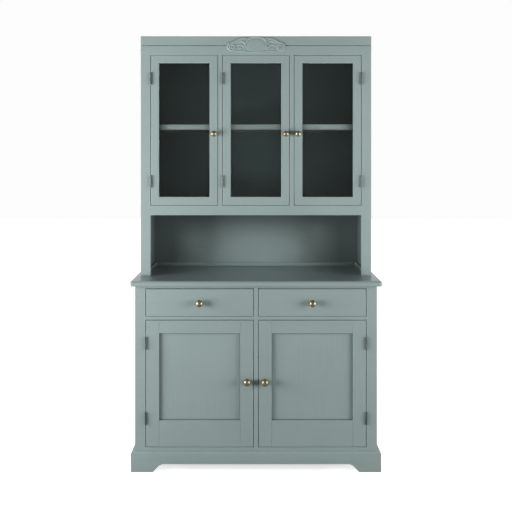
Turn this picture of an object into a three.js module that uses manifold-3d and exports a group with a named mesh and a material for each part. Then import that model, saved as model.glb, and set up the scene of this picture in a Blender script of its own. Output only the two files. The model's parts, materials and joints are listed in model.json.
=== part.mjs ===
// Welsh dresser: a cupboard base with two drawers and two doors, and a glazed hutch standing on its counter.
// Millimetres, +Z up, front towards -Y, origin at the middle of the footprint on the floor.
import * as THREE from "three";
import { mergeVertices } from "three/addons/utils/BufferGeometryUtils.js";
import Module from "manifold-3d";

const wasm = await Module();
wasm.setup();

// Counter top
const counterWidth = 1200;
const counterDepth = 440;
const counterThickness = 25;
const counterTopHeight = 906;
const counterSideOverhang = 23;
const counterFrontOverhang = 25;
const noseTopRadius = 12;
const noseBottomRadius = 4;

// Boards and joinery
const boardThickness = 20;
const shelfThickness = 18;
const backThickness = 8;
const rebateWidth = 10;
const housingDepth = 6;
const fitClearance = 0.25;
const grooveDepth = 8;
const overrun = 10;

// Base face frame, with its door openings' foot above the floor
const frameThickness = 20;
const baseStileWidth = 50;
const muntinWidth = 20;
const topRailHeight = 13.5;
const drawerOpeningHeight = 133.5;
const baseMidRailHeight = 16;
const baseBottomRailHeight = 50;
const baseDoorFootHeight = 110;
const baseSideFootHeight = 50;
const baseShelfHeight = 400;
const shelfSetback = 20;

// Plinth with a shaped arch on its front and sides
const plinthHeight = 95;
const plinthThickness = 17;
const plinthChamferHeight = 8;
const plinthChamferDepth = 3.5;
const plinthFootWidth = 105;
const archHeight = 38;
const archSlopeRun = 26;
const archSlopeRise = 28;
const archShoulderRun = 27;
const footTipRadius = 3;

// Doors and drawers
const doorSideGap = 3;
const baseDoorGap = 3;
const hutchDoorGap = 1.5;
const drawerFootGap = 1.5;
const drawerTopGap = 3;
const doorThickness = 20;
const baseDoorStileWidth = 62;
const baseDoorTopRailHeight = 61.5;
const baseDoorBottomRailHeight = 125;
const panelRecess = 11;
const panelThickness = 6;
const hutchDoorStileWidth = 39;
const hutchDoorTopRailHeight = 37;
const hutchDoorFootRailHeight = 41;
const glassThickness = 4;
const glassRecess = 8;
const glassRebate = 8;
const drawerBoxDepth = 340;
const drawerBoxHeight = 108;
const drawerWall = 12;
const drawerBottomThickness = 6;
const drawerBottomLift = 8;
const drawerSideClearance = 2;
const runnerClearance = 0.3;
const guideClearance = 1;
const runnerRailWidth = 60;
const guideHeight = 26;

// Hutch
const hutchEndSetback = 28;
const hutchDepth = 296;
const hutchStileWidth = 48;
const nicheHeight = 300;
const hutchRailHeight = 48;
const hutchDoorOpeningHeight = 746;
const hutchShelfThickness = 27;
const hutchShelfRise = 378;
const hutchShelfSetback = 35;
const footStripHeight = 19;
const footStripThickness = 12;

// Cornice board with a groove, and the carved crest fixed to it
const corniceHeight = 80.5;
const corniceStep = 2;
const corniceGrooveHeight = 4;
const corniceGrooveDepth = 7;
const corniceGrooveRise = 34.5;
const crestWidth = 298;
const crestHeight = 82;
const crestThickness = 5;
const crestRelief = 9;
const crestDrop = 3;
const voluteRadius = 20;
const shellHalfWidth = 44;
const shellHalfHeight = 32;

// Knobs
const baseKnobRadius = 17.25;
const baseKnobProjection = 36;
const hutchKnobRadius = 14.75;
const hutchKnobProjection = 31;
const baseKnobEdgeDistance = 29.5;
const hutchKnobEdgeDistance = 17;
const baseKnobRise = 316;
const hutchKnobRise = 356;

// Hinges: the barrel stands in front of the face, over the middle of the gap
const knuckleRadius = 4;
const knuckleStandoff = 0.3;
const hingeLength = 60;
const hingePinRadius = 2;
const hingePinEnd = 1.5;
const hingeLeafReach = 22;
const baseHingeTopDistance = 110;
const baseHingeFootDistance = 140;
const hutchHingeTopDistance = 117;
const hutchHingeFootDistance = 119;

// Facets
const arcSegments = 6;
const barrelSegments = 12;
const knobSegments = 20;
const knobArcSegments = 9;
const crestSegments = 60;
const crestBossSegments = 20;

// Places worked out from the sizes
const knobPastNose = Math.max(0, baseKnobProjection - counterFrontOverhang);
const noseY = knobPastNose - (counterDepth + knobPastNose) / 2;
const backY = noseY + counterDepth;
const backPanelY = backY - backThickness;
const counterFootHeight = counterTopHeight - counterThickness;
const baseHalfWidth = counterWidth / 2 - counterSideOverhang;
const baseInnerX = baseHalfWidth - boardThickness;
const baseOpeningX = baseHalfWidth - baseStileWidth;
const baseFaceY = noseY + counterFrontOverhang;
const baseInsideY = baseFaceY + frameThickness;
const drawerTopHeight = counterFootHeight - topRailHeight;
const drawerFootHeight = drawerTopHeight - drawerOpeningHeight;
const baseDoorTopHeight = drawerFootHeight - baseMidRailHeight;
const muntinHalf = muntinWidth / 2;
const partitionHalf = boardThickness / 2;
const hutchHalfWidth = counterWidth / 2 - hutchEndSetback;
const hutchInnerX = hutchHalfWidth - boardThickness;
const hutchOpeningX = hutchHalfWidth - hutchStileWidth;
const hutchFaceY = backY - hutchDepth;
const hutchInsideY = hutchFaceY + frameThickness;
const nicheTopHeight = counterTopHeight + nicheHeight;
const hutchDoorFootHeight = nicheTopHeight + hutchRailHeight;
const hutchDoorTopHeight = hutchDoorFootHeight + hutchDoorOpeningHeight;
const corniceFootHeight = hutchDoorTopHeight + topRailHeight;
const overallHeight = corniceFootHeight + corniceHeight;
const hutchShelfHeight = hutchDoorFootHeight + hutchShelfRise;
const hutchOpeningWidth = (2 * hutchOpeningX - 2 * muntinWidth) / 3;

// Materials
const paint = new THREE.MeshStandardMaterial({ color: 0x9eaaa7, roughness: 0.55, metalness: 0 });
const rawWood = new THREE.MeshStandardMaterial({ color: 0xc9a878, roughness: 0.7, metalness: 0 });
const brass = new THREE.MeshStandardMaterial({ color: 0x9c7d3c, roughness: 0.3, metalness: 1 });
const darkSteel = new THREE.MeshStandardMaterial({ color: 0x4a4f4e, roughness: 0.45, metalness: 1 });
const glass = new THREE.MeshStandardMaterial({
  color: 0xdfe8e6,
  roughness: 0.05,
  metalness: 0,
  transparent: true,
  opacity: 0.3,
});

// A board between two opposite corners, placed at its own middle.
function board(name, material, corner, opposite) {
  const size = opposite.map((value, axis) => Math.abs(value - corner[axis]));
  const mesh = new THREE.Mesh(new THREE.BoxGeometry(...size), material);
  mesh.name = name;
  mesh.position.set(...opposite.map((value, axis) => (value + corner[axis]) / 2));
  return mesh;
}

// A mesh as a closed solid, seen from the frame of another mesh.
function solidOf(mesh, home) {
  mesh.updateMatrixWorld(true);
  home.updateMatrixWorld(true);
  const toHome = home.matrixWorld.clone().invert().multiply(mesh.matrixWorld);
  const geometry = mesh.geometry.clone();
  geometry.deleteAttribute("normal");
  geometry.deleteAttribute("uv");
  geometry.applyMatrix4(toHome);
  const merged = mergeVertices(geometry);
  const vertProperties = merged.attributes.position.array;
  const triVerts = new Uint32Array(merged.index.array);
  return new wasm.Manifold(new wasm.Mesh({ numProp: 3, vertProperties, triVerts }));
}

// A closed solid back as a three.js geometry.
function geometryOf(solid) {
  const mesh = solid.getMesh();
  const geometry = new THREE.BufferGeometry();
  geometry.setAttribute("position", new THREE.BufferAttribute(new Float32Array(mesh.vertProperties), 3));
  geometry.setIndex(new THREE.BufferAttribute(new Uint32Array(mesh.triVerts), 1));
  geometry.computeVertexNormals();
  return geometry;
}

function combine(mesh, others, operation) {
  const start = solidOf(mesh, mesh);
  const solid = others.reduce((sum, other) => sum[operation](solidOf(other, mesh)), start);
  mesh.geometry = geometryOf(solid);
  return mesh;
}

const carve = (mesh, cutters) => combine(mesh, cutters, "subtract");
const join = (mesh, pieces) => combine(mesh, pieces, "add");
const common = (mesh, pieces) => combine(mesh, pieces, "intersect");

// A box between two corners that cuts or joins another piece.
const box = (corner, opposite) => board("", paint, corner, opposite);

// Two places in rising order.
const span = (a, b) => [Math.min(a, b), Math.max(a, b)];

// A shape drawn in X and Z, thickened towards +Y.
function prismAlongY(shape, thickness) {
  const options = { depth: thickness, bevelEnabled: false, curveSegments: arcSegments };
  const geometry = new THREE.ExtrudeGeometry(shape, options);
  geometry.rotateX(Math.PI / 2);
  geometry.translate(0, thickness, 0);
  return new THREE.Mesh(geometry, paint);
}

// A shape drawn in Y and Z, thickened towards +X.
function prismAlongX(shape, thickness) {
  const options = { depth: thickness, bevelEnabled: false, curveSegments: arcSegments };
  const geometry = new THREE.ExtrudeGeometry(shape, options);
  const yAxis = new THREE.Vector3(0, 1, 0);
  const zAxis = new THREE.Vector3(0, 0, 1);
  const xAxis = new THREE.Vector3(1, 0, 0);
  geometry.applyMatrix4(new THREE.Matrix4().makeBasis(yAxis, zAxis, xAxis));
  return new THREE.Mesh(geometry, paint);
}

// A half profile that ends in a nose is mirrored for the counter's two sides.
function counterNose(path, edge, direction) {
  const quarter = Math.PI / 2;
  const topX = edge - direction * noseTopRadius;
  const footX = edge - direction * noseBottomRadius;
  const topZ = counterThickness - noseTopRadius;
  if (direction > 0) {
    path.absarc(footX, noseBottomRadius, noseBottomRadius, -quarter, 0, false);
    path.absarc(topX, topZ, noseTopRadius, 0, quarter, false);
  } else {
    path.absarc(topX, topZ, noseTopRadius, quarter, 2 * quarter, false);
    path.absarc(footX, noseBottomRadius, noseBottomRadius, 2 * quarter, 3 * quarter, false);
  }
}

function counterTop() {
  const across = new THREE.Shape();
  counterNose(across, counterWidth / 2, 1);
  counterNose(across, -counterWidth / 2, -1);
  across.closePath();
  const along = new THREE.Shape();
  along.moveTo(counterDepth, 0);
  along.lineTo(counterDepth, counterThickness);
  counterNose(along, 0, -1);
  along.closePath();
  const mesh = prismAlongY(across, counterDepth);
  const length = prismAlongX(along, counterWidth + 2 * overrun);
  length.position.x = -counterWidth / 2 - overrun;
  common(mesh, [length]);
  mesh.name = "counter_top";
  mesh.position.set(0, noseY, counterFootHeight);
  return mesh;
}

// The opening under one plinth board, between the feet of a board that long.
function archOpening(boardLength) {
  const half = boardLength / 2 - plinthFootWidth;
  const slopeLength = Math.hypot(archSlopeRun, archSlopeRise);
  const tipRun = (footTipRadius * archSlopeRun) / slopeLength;
  const tipRise = (footTipRadius * archSlopeRise) / slopeLength;
  const slopeX = half - archSlopeRun;
  const topX = slopeX - archShoulderRun;
  const shape = new THREE.Shape();
  shape.moveTo(-half - footTipRadius, -overrun);
  shape.lineTo(half + footTipRadius, -overrun);
  shape.lineTo(half + footTipRadius, 0);
  shape.quadraticCurveTo(half, 0, half - tipRun, tipRise);
  shape.lineTo(slopeX, archSlopeRise);
  shape.quadraticCurveTo(topX + (slopeX - topX) / 2, archHeight, topX, archHeight);
  shape.lineTo(-topX, archHeight);
  shape.quadraticCurveTo(-topX - (slopeX - topX) / 2, archHeight, -slopeX, archSlopeRise);
  shape.lineTo(-half + tipRun, tipRise);
  shape.quadraticCurveTo(-half, 0, -half - footTipRadius, 0);
  shape.closePath();
  return shape;
}

// Three mitred boards glued into one skirt round the front and both sides.
function plinth() {
  const width = 2 * (baseHalfWidth + plinthThickness);
  const depth = backY - baseFaceY + plinthThickness;
  const shoulder = plinthHeight - plinthChamferHeight;
  const across = new THREE.Shape();
  across.moveTo(-width / 2, 0);
  across.lineTo(width / 2, 0);
  across.lineTo(width / 2, shoulder);
  across.lineTo(width / 2 - plinthChamferDepth, plinthHeight);
  across.lineTo(-width / 2 + plinthChamferDepth, plinthHeight);
  across.lineTo(-width / 2, shoulder);
  across.closePath();
  const along = new THREE.Shape();
  along.moveTo(0, 0);
  along.lineTo(depth, 0);
  along.lineTo(depth, plinthHeight);
  along.lineTo(plinthChamferDepth, plinthHeight);
  along.lineTo(0, shoulder);
  along.closePath();
  const mesh = prismAlongY(across, depth);
  const length = prismAlongX(along, width + 2 * overrun);
  length.position.x = -width / 2 - overrun;
  common(mesh, [length]);
  const inside = box(
    [-baseHalfWidth, plinthThickness, -overrun],
    [baseHalfWidth, depth + overrun, plinthHeight + overrun],
  );
  const frontArch = prismAlongY(archOpening(width), plinthThickness + 2 * overrun);
  frontArch.position.y = -overrun;
  const sideArch = prismAlongX(archOpening(depth), width + 2 * overrun);
  sideArch.position.set(-width / 2 - overrun, depth / 2, 0);
  carve(mesh, [inside, frontArch, sideArch]);
  mesh.name = "plinth";
  mesh.position.y = baseFaceY - plinthThickness;
  return mesh;
}

// The rebate for a back panel and the housings for shelves, cut in the inner face of a side.
function sideCuts(side, innerX, frontY, shelves) {
  const outward = (depth) => [side * innerX, side * (innerX + depth)];
  const rebate = outward(rebateWidth);
  const housing = outward(housingDepth);
  const rebateLow = [rebate[0], backPanelY, -overrun];
  const cuts = [box(rebateLow, [rebate[1], backY + overrun, overallHeight + overrun])];
  for (const [foot, thickness, setback] of shelves) {
    const top = foot + thickness + fitClearance;
    cuts.push(box([housing[0], frontY + setback, foot], [housing[1], backY + overrun, top]));
  }
  return cuts;
}

const baseShelves = [
  [baseShelfHeight, shelfThickness, shelfSetback],
  [baseDoorTopHeight, baseMidRailHeight, 0],
];

function baseSide(name, side) {
  const corner = [side * baseInnerX, baseInsideY, baseSideFootHeight];
  const mesh = board(name, paint, corner, [side * baseHalfWidth, backY, counterFootHeight]);
  return carve(mesh, sideCuts(side, baseInnerX, baseInsideY, baseShelves));
}

function baseFloor() {
  const foot = baseDoorFootHeight - boardThickness;
  const low = [-baseInnerX, baseInsideY, foot];
  return board("base_floor", paint, low, [baseInnerX, backPanelY, baseDoorFootHeight]);
}

// The upright board between the two cupboards and between the two drawers.
function basePartition() {
  const low = [-partitionHalf, baseInsideY, baseDoorFootHeight];
  const mesh = board("base_partition", paint, low, [partitionHalf, backPanelY, counterFootHeight]);
  const cuts = [];
  for (const side of [-1, 1]) {
    for (const [foot, thickness, setback] of baseShelves) {
      const innerX = side * (partitionHalf - housingDepth);
      const outerX = side * (partitionHalf + overrun);
      const top = foot + thickness + fitClearance;
      cuts.push(box([innerX, baseInsideY + setback, foot], [outerX, backPanelY + overrun, top]));
    }
  }
  return carve(mesh, cuts);
}

function baseBackPanel() {
  const half = baseInnerX + rebateWidth - fitClearance;
  const low = [-half, backPanelY, baseDoorFootHeight - boardThickness];
  return board("base_back_panel", paint, low, [half, backY, counterFootHeight]);
}

function baseFaceFrame() {
  const low = [-baseHalfWidth, baseFaceY, baseDoorFootHeight - baseBottomRailHeight];
  const mesh = board("base_face_frame", paint, low, [baseHalfWidth, baseInsideY, counterFootHeight]);
  const frontY = baseFaceY - overrun;
  const insideY = baseInsideY + overrun;
  const openings = [];
  for (const side of [-1, 1]) {
    const innerX = side * muntinHalf;
    const outerX = side * baseOpeningX;
    openings.push(box([innerX, frontY, baseDoorFootHeight], [outerX, insideY, baseDoorTopHeight]));
    openings.push(box([innerX, frontY, drawerFootHeight], [outerX, insideY, drawerTopHeight]));
  }
  return carve(mesh, openings);
}

// What spans from the partition to a side, both ends held in housings.
function baseSpan(side) {
  const inner = partitionHalf - housingDepth + fitClearance;
  const outer = baseInnerX + housingDepth - fitClearance;
  return span(side * inner, side * outer);
}

function baseShelf(name, side) {
  const [x0, x1] = baseSpan(side);
  const low = [x0, baseInsideY + shelfSetback, baseShelfHeight];
  return board(name, paint, low, [x1, backPanelY, baseShelfHeight + shelfThickness]);
}

const drawerBoxInnerX = muntinHalf + doorSideGap + drawerSideClearance;
const drawerBoxOuterX = baseOpeningX - doorSideGap - drawerSideClearance;

// The open frame that a drawer runs on, with a guide strip glued along each side.
function drawerRunnerFrame(name, side) {
  const [x0, x1] = baseSpan(side);
  const top = baseDoorTopHeight + baseMidRailHeight;
  const mesh = board(name, rawWood, [x0, baseInsideY, baseDoorTopHeight], [x1, backPanelY, top]);
  const hole = box(
    [x0 + runnerRailWidth, baseInsideY + runnerRailWidth, baseDoorTopHeight - overrun],
    [x1 - runnerRailWidth, backPanelY - runnerRailWidth, top + overrun],
  );
  const guides = [
    [partitionHalf, drawerBoxInnerX - guideClearance],
    [drawerBoxOuterX + guideClearance, baseInnerX],
  ].map(([innerX, outerX]) => {
    const foot = [side * innerX, baseInsideY, baseDoorTopHeight];
    return box(foot, [side * outerX, backPanelY, top + guideHeight]);
  });
  return join(carve(mesh, [hole]), guides);
}

const hutchShelves = [
  [hutchDoorFootHeight - boardThickness, boardThickness, 0],
  [hutchShelfHeight, hutchShelfThickness, hutchShelfSetback - frameThickness],
  [overallHeight - boardThickness, boardThickness, 0],
];

function hutchSide(name, side) {
  const corner = [side * hutchInnerX, hutchInsideY, counterTopHeight];
  const mesh = board(name, paint, corner, [side * hutchHalfWidth, backY, overallHeight]);
  return carve(mesh, sideCuts(side, hutchInnerX, hutchInsideY, hutchShelves));
}

// A board that spans the hutch, both ends held in the sides' housings.
function hutchSpan(name, frontY, foot, thickness) {
  const half = hutchInnerX + housingDepth - fitClearance;
  return board(name, paint, [-half, frontY, foot], [half, backPanelY, foot + thickness]);
}

function hutchBackPanel() {
  const half = hutchInnerX + rebateWidth - fitClearance;
  const low = [-half, backPanelY, counterTopHeight];
  return board("hutch_back_panel", paint, low, [half, backY, overallHeight]);
}

// Stiles run down to the counter on both sides of the open niche.
function hutchFaceFrame() {
  const low = [-hutchHalfWidth, hutchFaceY, counterTopHeight];
  const mesh = board("hutch_face_frame", paint, low, [hutchHalfWidth, hutchInsideY, corniceFootHeight]);
  const frontY = hutchFaceY - overrun;
  const insideY = hutchInsideY + overrun;
  const niche = box(
    [-hutchOpeningX, frontY, counterTopHeight - overrun],
    [hutchOpeningX, insideY, nicheTopHeight],
  );
  const openings = [-1, 0, 1].map((place) => {
    const middle = place * (hutchOpeningWidth + muntinWidth);
    return box(
      [middle - hutchOpeningWidth / 2, frontY, hutchDoorFootHeight],
      [middle + hutchOpeningWidth / 2, insideY, hutchDoorTopHeight],
    );
  });
  return carve(mesh, [niche, ...openings]);
}

// The strip round the foot of the niche, along the back panel and both sides.
function hutchFootStrip() {
  const top = counterTopHeight + footStripHeight;
  const stripY = backPanelY - footStripThickness;
  const low = [-hutchInnerX, stripY, counterTopHeight];
  const mesh = board("hutch_foot_strip", paint, low, [hutchInnerX, backPanelY, top]);
  const sides = [-1, 1].map((side) => {
    const corner = [side * hutchInnerX, hutchInsideY, counterTopHeight];
    return box(corner, [side * (hutchInnerX - footStripThickness), backPanelY, top]);
  });
  return join(mesh, sides);
}

const corniceFaceY = hutchFaceY - corniceStep;

function corniceBoard() {
  const low = [-hutchHalfWidth, corniceFaceY, corniceFootHeight];
  const mesh = board("cornice_board", paint, low, [hutchHalfWidth, hutchInsideY, overallHeight]);
  const middle = corniceFootHeight + corniceGrooveRise;
  const groove = box(
    [-hutchHalfWidth - overrun, corniceFaceY - overrun, middle - corniceGrooveHeight / 2],
    [hutchHalfWidth + overrun, corniceFaceY + corniceGrooveDepth, middle + corniceGrooveHeight / 2],
  );
  return carve(mesh, [groove]);
}

// Right half of the crest's outline, as shares of its half width and its height, from the top middle down.
const crestOutlineShares = [
  [0, 1],
  [0.18, 0.98],
  [0.29, 0.89],
  [0.42, 0.88],
  [0.6, 0.87],
  [0.7, 0.72],
  [0.83, 0.68],
  [0.96, 0.58],
  [1, 0.38],
  [0.95, 0.17],
  [0.82, 0.08],
  [0.68, 0.13],
  [0.55, 0.1],
  [0.3, 0.03],
  [0, 0],
];
const voluteXShare = 0.81;
const voluteZShare = 0.38;
const shellZShare = 0.54;

// A low dome of the crest: a volute's eye or the shell in the middle.
function crestBoss(x, z, radiusX, radiusZ) {
  const boss = new THREE.Mesh(new THREE.SphereGeometry(1, crestBossSegments, crestBossSegments / 2), paint);
  boss.scale.set(radiusX, crestRelief - crestThickness, radiusZ);
  boss.position.set(x, 0, z);
  return boss;
}

function crestOrnament() {
  const half = crestWidth / 2;
  const right = crestOutlineShares.map(([x, z]) => new THREE.Vector2(x * half, z * crestHeight));
  const left = right.slice(1, -1).reverse().map((point) => new THREE.Vector2(-point.x, point.y));
  const loop = [...right, ...left, right[0]];
  const outline = new THREE.SplineCurve(loop).getPoints(crestSegments).slice(0, -1);
  const mesh = prismAlongY(new THREE.Shape(outline), crestThickness);
  const bosses = [
    crestBoss(voluteXShare * half, voluteZShare * crestHeight, voluteRadius, voluteRadius),
    crestBoss(-voluteXShare * half, voluteZShare * crestHeight, voluteRadius, voluteRadius),
    crestBoss(0, shellZShare * crestHeight, shellHalfWidth, shellHalfHeight),
  ];
  join(mesh, bosses);
  mesh.name = "crest_ornament";
  mesh.position.set(0, corniceFaceY - crestThickness, corniceFootHeight - crestDrop);
  return mesh;
}

// Turned brass knob: a rose against the wood, a neck and a ball a little flatter than round.
const roseRadiusShare = 0.64;
const roseHeightShare = 0.07;
const neckRadiusShare = 0.38;
const ballFlatShare = 0.82;

function knob(name, radius, projection) {
  const neck = neckRadiusShare * radius;
  const reach = ballFlatShare * radius;
  const middle = projection - reach;
  const start = Math.acos(neck / radius) * -1;
  const points = [
    [0, 0],
    [roseRadiusShare * radius, 0],
    [roseRadiusShare * radius, roseHeightShare * projection],
    [neck, 2 * roseHeightShare * projection],
  ];
  for (let step = 0; step < knobArcSegments; step += 1) {
    const angle = start + (step / knobArcSegments) * (Math.PI / 2 - start);
    points.push([Math.cos(angle) * radius, middle + Math.sin(angle) * reach]);
  }
  points.push([0, projection]);
  const profile = points.map(([x, y]) => new THREE.Vector2(x, y));
  const mesh = new THREE.Mesh(new THREE.LatheGeometry(profile, knobSegments), brass);
  mesh.name = name;
  mesh.rotation.x = Math.PI;
  return mesh;
}

// The hinge leaf let into the gap on the frame's side, with its three knuckles and the pin.
function hingeLeaf(name, stileSide, gapX, faceY, z) {
  const knuckle = hingeLength / 5;
  const pinLength = hingeLength + 2 * hingePinEnd;
  const leafX = (stileSide * doorSideGap) / 2;
  const leaf = box([0, 0, -hingeLength / 2], [leafX, hingeLeafReach, hingeLength / 2]);
  const knuckles = [-2, 0, 2].map((place) => {
    const barrel = new THREE.Mesh(
      new THREE.CylinderGeometry(knuckleRadius, knuckleRadius, knuckle, barrelSegments),
      darkSteel,
    );
    barrel.rotation.x = Math.PI / 2;
    barrel.position.z = place * knuckle;
    return barrel;
  });
  const pinShape = new THREE.CylinderGeometry(hingePinRadius, hingePinRadius, pinLength, barrelSegments);
  pinShape.rotateX(Math.PI / 2);
  const mesh = new THREE.Mesh(pinShape, darkSteel);
  join(mesh, [leaf, ...knuckles]);
  mesh.name = name;
  mesh.position.set(gapX, faceY - knuckleRadius - knuckleStandoff, z);
  return mesh;
}

// One glazed door: a glued frame rebated at the back, its pane and its knob.
function hutchDoor(name, place, hingeSide) {
  const middle = place * (hutchOpeningWidth + muntinWidth);
  const half = hutchOpeningWidth / 2 - doorSideGap;
  const low = [middle - half, hutchFaceY, hutchDoorFootHeight + hutchDoorGap];
  const high = [middle + half, hutchFaceY + doorThickness, hutchDoorTopHeight - hutchDoorGap];
  const frame = board(`${name}_frame`, paint, low, high);
  const sight = box(
    [low[0] + hutchDoorStileWidth, low[1] - overrun, low[2] + hutchDoorFootRailHeight],
    [high[0] - hutchDoorStileWidth, high[1] + overrun, high[2] - hutchDoorTopRailHeight],
  );
  const rebateX0 = low[0] + hutchDoorStileWidth - glassRebate;
  const rebateX1 = high[0] - hutchDoorStileWidth + glassRebate;
  const rebateZ0 = low[2] + hutchDoorFootRailHeight - glassRebate;
  const rebateZ1 = high[2] - hutchDoorTopRailHeight + glassRebate;
  const rebate = box(
    [rebateX0, low[1] + glassRecess, rebateZ0],
    [rebateX1, high[1] + overrun, rebateZ1],
  );
  carve(frame, [sight, rebate]);
  const pane = board(
    `${name}_glass`,
    glass,
    [rebateX0 + fitClearance, low[1] + glassRecess, rebateZ0 + fitClearance],
    [rebateX1 - fitClearance, low[1] + glassRecess + glassThickness, rebateZ1 - fitClearance],
  );
  const pull = knob(`${name}_knob`, hutchKnobRadius, hutchKnobProjection);
  const pullX = middle - hingeSide * (half - hutchKnobEdgeDistance);
  pull.position.set(pullX, hutchFaceY, hutchDoorFootHeight + hutchKnobRise);
  const gapX = middle + hingeSide * (hutchOpeningWidth / 2 - doorSideGap / 2);
  const heights = [hutchDoorTopHeight - hutchHingeTopDistance, hutchDoorFootHeight + hutchHingeFootDistance];
  const hinges = heights.map((z, index) => {
    const label = index === 0 ? "upper" : "lower";
    return hingeLeaf(`${name}_hinge_${label}`, hingeSide, gapX, hutchFaceY, z);
  });
  return [frame, pane, pull, ...hinges];
}

// One stile of a cupboard door, grooved along its inner edge.
function doorStile(name, outerX, innerX, z0, z1) {
  const inward = Math.sign(innerX - outerX);
  const mesh = board(name, paint, [outerX, baseFaceY, z0], [innerX, baseFaceY + doorThickness, z1]);
  const grooveY = baseFaceY + panelRecess;
  const groove = box(
    [innerX - inward * grooveDepth, grooveY, z0 - overrun],
    [innerX + inward * overrun, grooveY + panelThickness + fitClearance, z1 + overrun],
  );
  return carve(mesh, [groove]);
}

// One rail of a cupboard door: tongues in the stiles' grooves and a groove for the panel.
function doorRail(name, x0, x1, z0, z1, panelSide) {
  const mesh = board(name, paint, [x0, baseFaceY, z0], [x1, baseFaceY + doorThickness, z1]);
  const grooveY = baseFaceY + panelRecess;
  const tongueReach = grooveDepth - fitClearance;
  const [panelZ, otherZ] = panelSide > 0 ? [z1, z0] : [z0, z1];
  const grooveZ = panelZ - panelSide * grooveDepth;
  const groove = box(
    [x0 - overrun, grooveY, grooveZ],
    [x1 + overrun, grooveY + panelThickness + fitClearance, panelZ + panelSide * overrun],
  );
  const tongue = box(
    [x0 - tongueReach, grooveY, grooveZ],
    [x1 + tongueReach, grooveY + panelThickness, otherZ],
  );
  return join(carve(mesh, [groove]), [tongue]);
}

// One cupboard door: two stiles, two rails, a flat panel in their grooves, and a knob.
function baseDoor(name, side) {
  const z0 = baseDoorFootHeight + baseDoorGap;
  const z1 = baseDoorTopHeight - baseDoorGap;
  const hingeX = side * (baseOpeningX - doorSideGap);
  const freeX = side * (muntinHalf + doorSideGap);
  const hingeInnerX = hingeX - side * baseDoorStileWidth;
  const freeInnerX = freeX + side * baseDoorStileWidth;
  const [railX0, railX1] = span(hingeInnerX, freeInnerX);
  const footRailTop = z0 + baseDoorBottomRailHeight;
  const topRailFoot = z1 - baseDoorTopRailHeight;
  const reach = grooveDepth - fitClearance;
  const panelY = baseFaceY + panelRecess;
  const panel = board(
    `${name}_panel`,
    paint,
    [railX0 - reach, panelY, footRailTop - reach],
    [railX1 + reach, panelY + panelThickness, topRailFoot + reach],
  );
  const pull = knob(`${name}_knob`, baseKnobRadius, baseKnobProjection);
  pull.position.set(freeX + side * baseKnobEdgeDistance, baseFaceY, baseDoorFootHeight + baseKnobRise);
  const gapX = side * (baseOpeningX - doorSideGap / 2);
  const heights = [baseDoorTopHeight - baseHingeTopDistance, baseDoorFootHeight + baseHingeFootDistance];
  const hinges = heights.map((z, index) => {
    const label = index === 0 ? "upper" : "lower";
    return hingeLeaf(`${name}_hinge_${label}`, side, gapX, baseFaceY, z);
  });
  return [
    doorStile(`${name}_hinge_stile`, hingeX, hingeInnerX, z0, z1),
    doorStile(`${name}_knob_stile`, freeX, freeInnerX, z0, z1),
    doorRail(`${name}_top_rail`, railX0, railX1, topRailFoot, z1, -1),
    doorRail(`${name}_bottom_rail`, railX0, railX1, z0, footRailTop, 1),
    panel,
    pull,
    ...hinges,
  ];
}

// One drawer: a front set flush in the face frame, the box behind it and a knob.
function drawer(name, side) {
  const [x0, x1] = span(side * (muntinHalf + doorSideGap), side * (baseOpeningX - doorSideGap));
  const [boxX0, boxX1] = span(side * drawerBoxInnerX, side * drawerBoxOuterX);
  const z0 = drawerFootHeight + drawerFootGap;
  const z1 = drawerTopHeight - drawerTopGap;
  const front = board(`${name}_front`, paint, [x0, baseFaceY, z0], [x1, baseInsideY, z1]);
  const boxFoot = drawerFootHeight + runnerClearance;
  const boxTop = boxFoot + drawerBoxHeight;
  const boxBackY = baseInsideY + drawerBoxDepth;
  const body = board(`${name}_box`, rawWood, [boxX0, baseInsideY, boxFoot], [boxX1, boxBackY, boxTop]);
  const bottomFoot = boxFoot + drawerBottomLift;
  const insideLow = [boxX0 + drawerWall, baseInsideY + drawerWall];
  const insideHigh = [boxX1 - drawerWall, boxBackY - drawerWall];
  const above = box(
    [...insideLow, bottomFoot + drawerBottomThickness],
    [...insideHigh, boxTop + overrun],
  );
  const below = box([...insideLow, boxFoot - overrun], [...insideHigh, bottomFoot]);
  carve(body, [above, below]);
  const pull = knob(`${name}_knob`, baseKnobRadius, baseKnobProjection);
  pull.position.set((x0 + x1) / 2, baseFaceY, (z0 + z1) / 2);
  return [front, body, pull];
}

const base = new THREE.Group();
base.add(
  baseSide("base_side_left", -1),
  baseSide("base_side_right", 1),
  baseFloor(),
  basePartition(),
  baseBackPanel(),
  baseFaceFrame(),
  counterTop(),
  plinth(),
  baseShelf("base_shelf_left", -1),
  baseShelf("base_shelf_right", 1),
  drawerRunnerFrame("drawer_runner_frame_left", -1),
  drawerRunnerFrame("drawer_runner_frame_right", 1),
  ...baseDoor("base_door_left", -1),
  ...baseDoor("base_door_right", 1),
  ...drawer("drawer_left", -1),
  ...drawer("drawer_right", 1),
);

const hutch = new THREE.Group();
hutch.add(
  hutchSide("hutch_side_left", -1),
  hutchSide("hutch_side_right", 1),
  hutchSpan("hutch_floor", hutchInsideY, hutchDoorFootHeight - boardThickness, boardThickness),
  hutchSpan("hutch_shelf", hutchFaceY + hutchShelfSetback, hutchShelfHeight, hutchShelfThickness),
  hutchSpan("hutch_top", hutchInsideY, overallHeight - boardThickness, boardThickness),
  hutchBackPanel(),
  hutchFaceFrame(),
  hutchFootStrip(),
  corniceBoard(),
  crestOrnament(),
  ...hutchDoor("hutch_door_left", -1, -1),
  ...hutchDoor("hutch_door_middle", 0, -1),
  ...hutchDoor("hutch_door_right", 1, 1),
);

const dresser = new THREE.Group();
dresser.add(base, hutch);

export default dresser;
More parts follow.
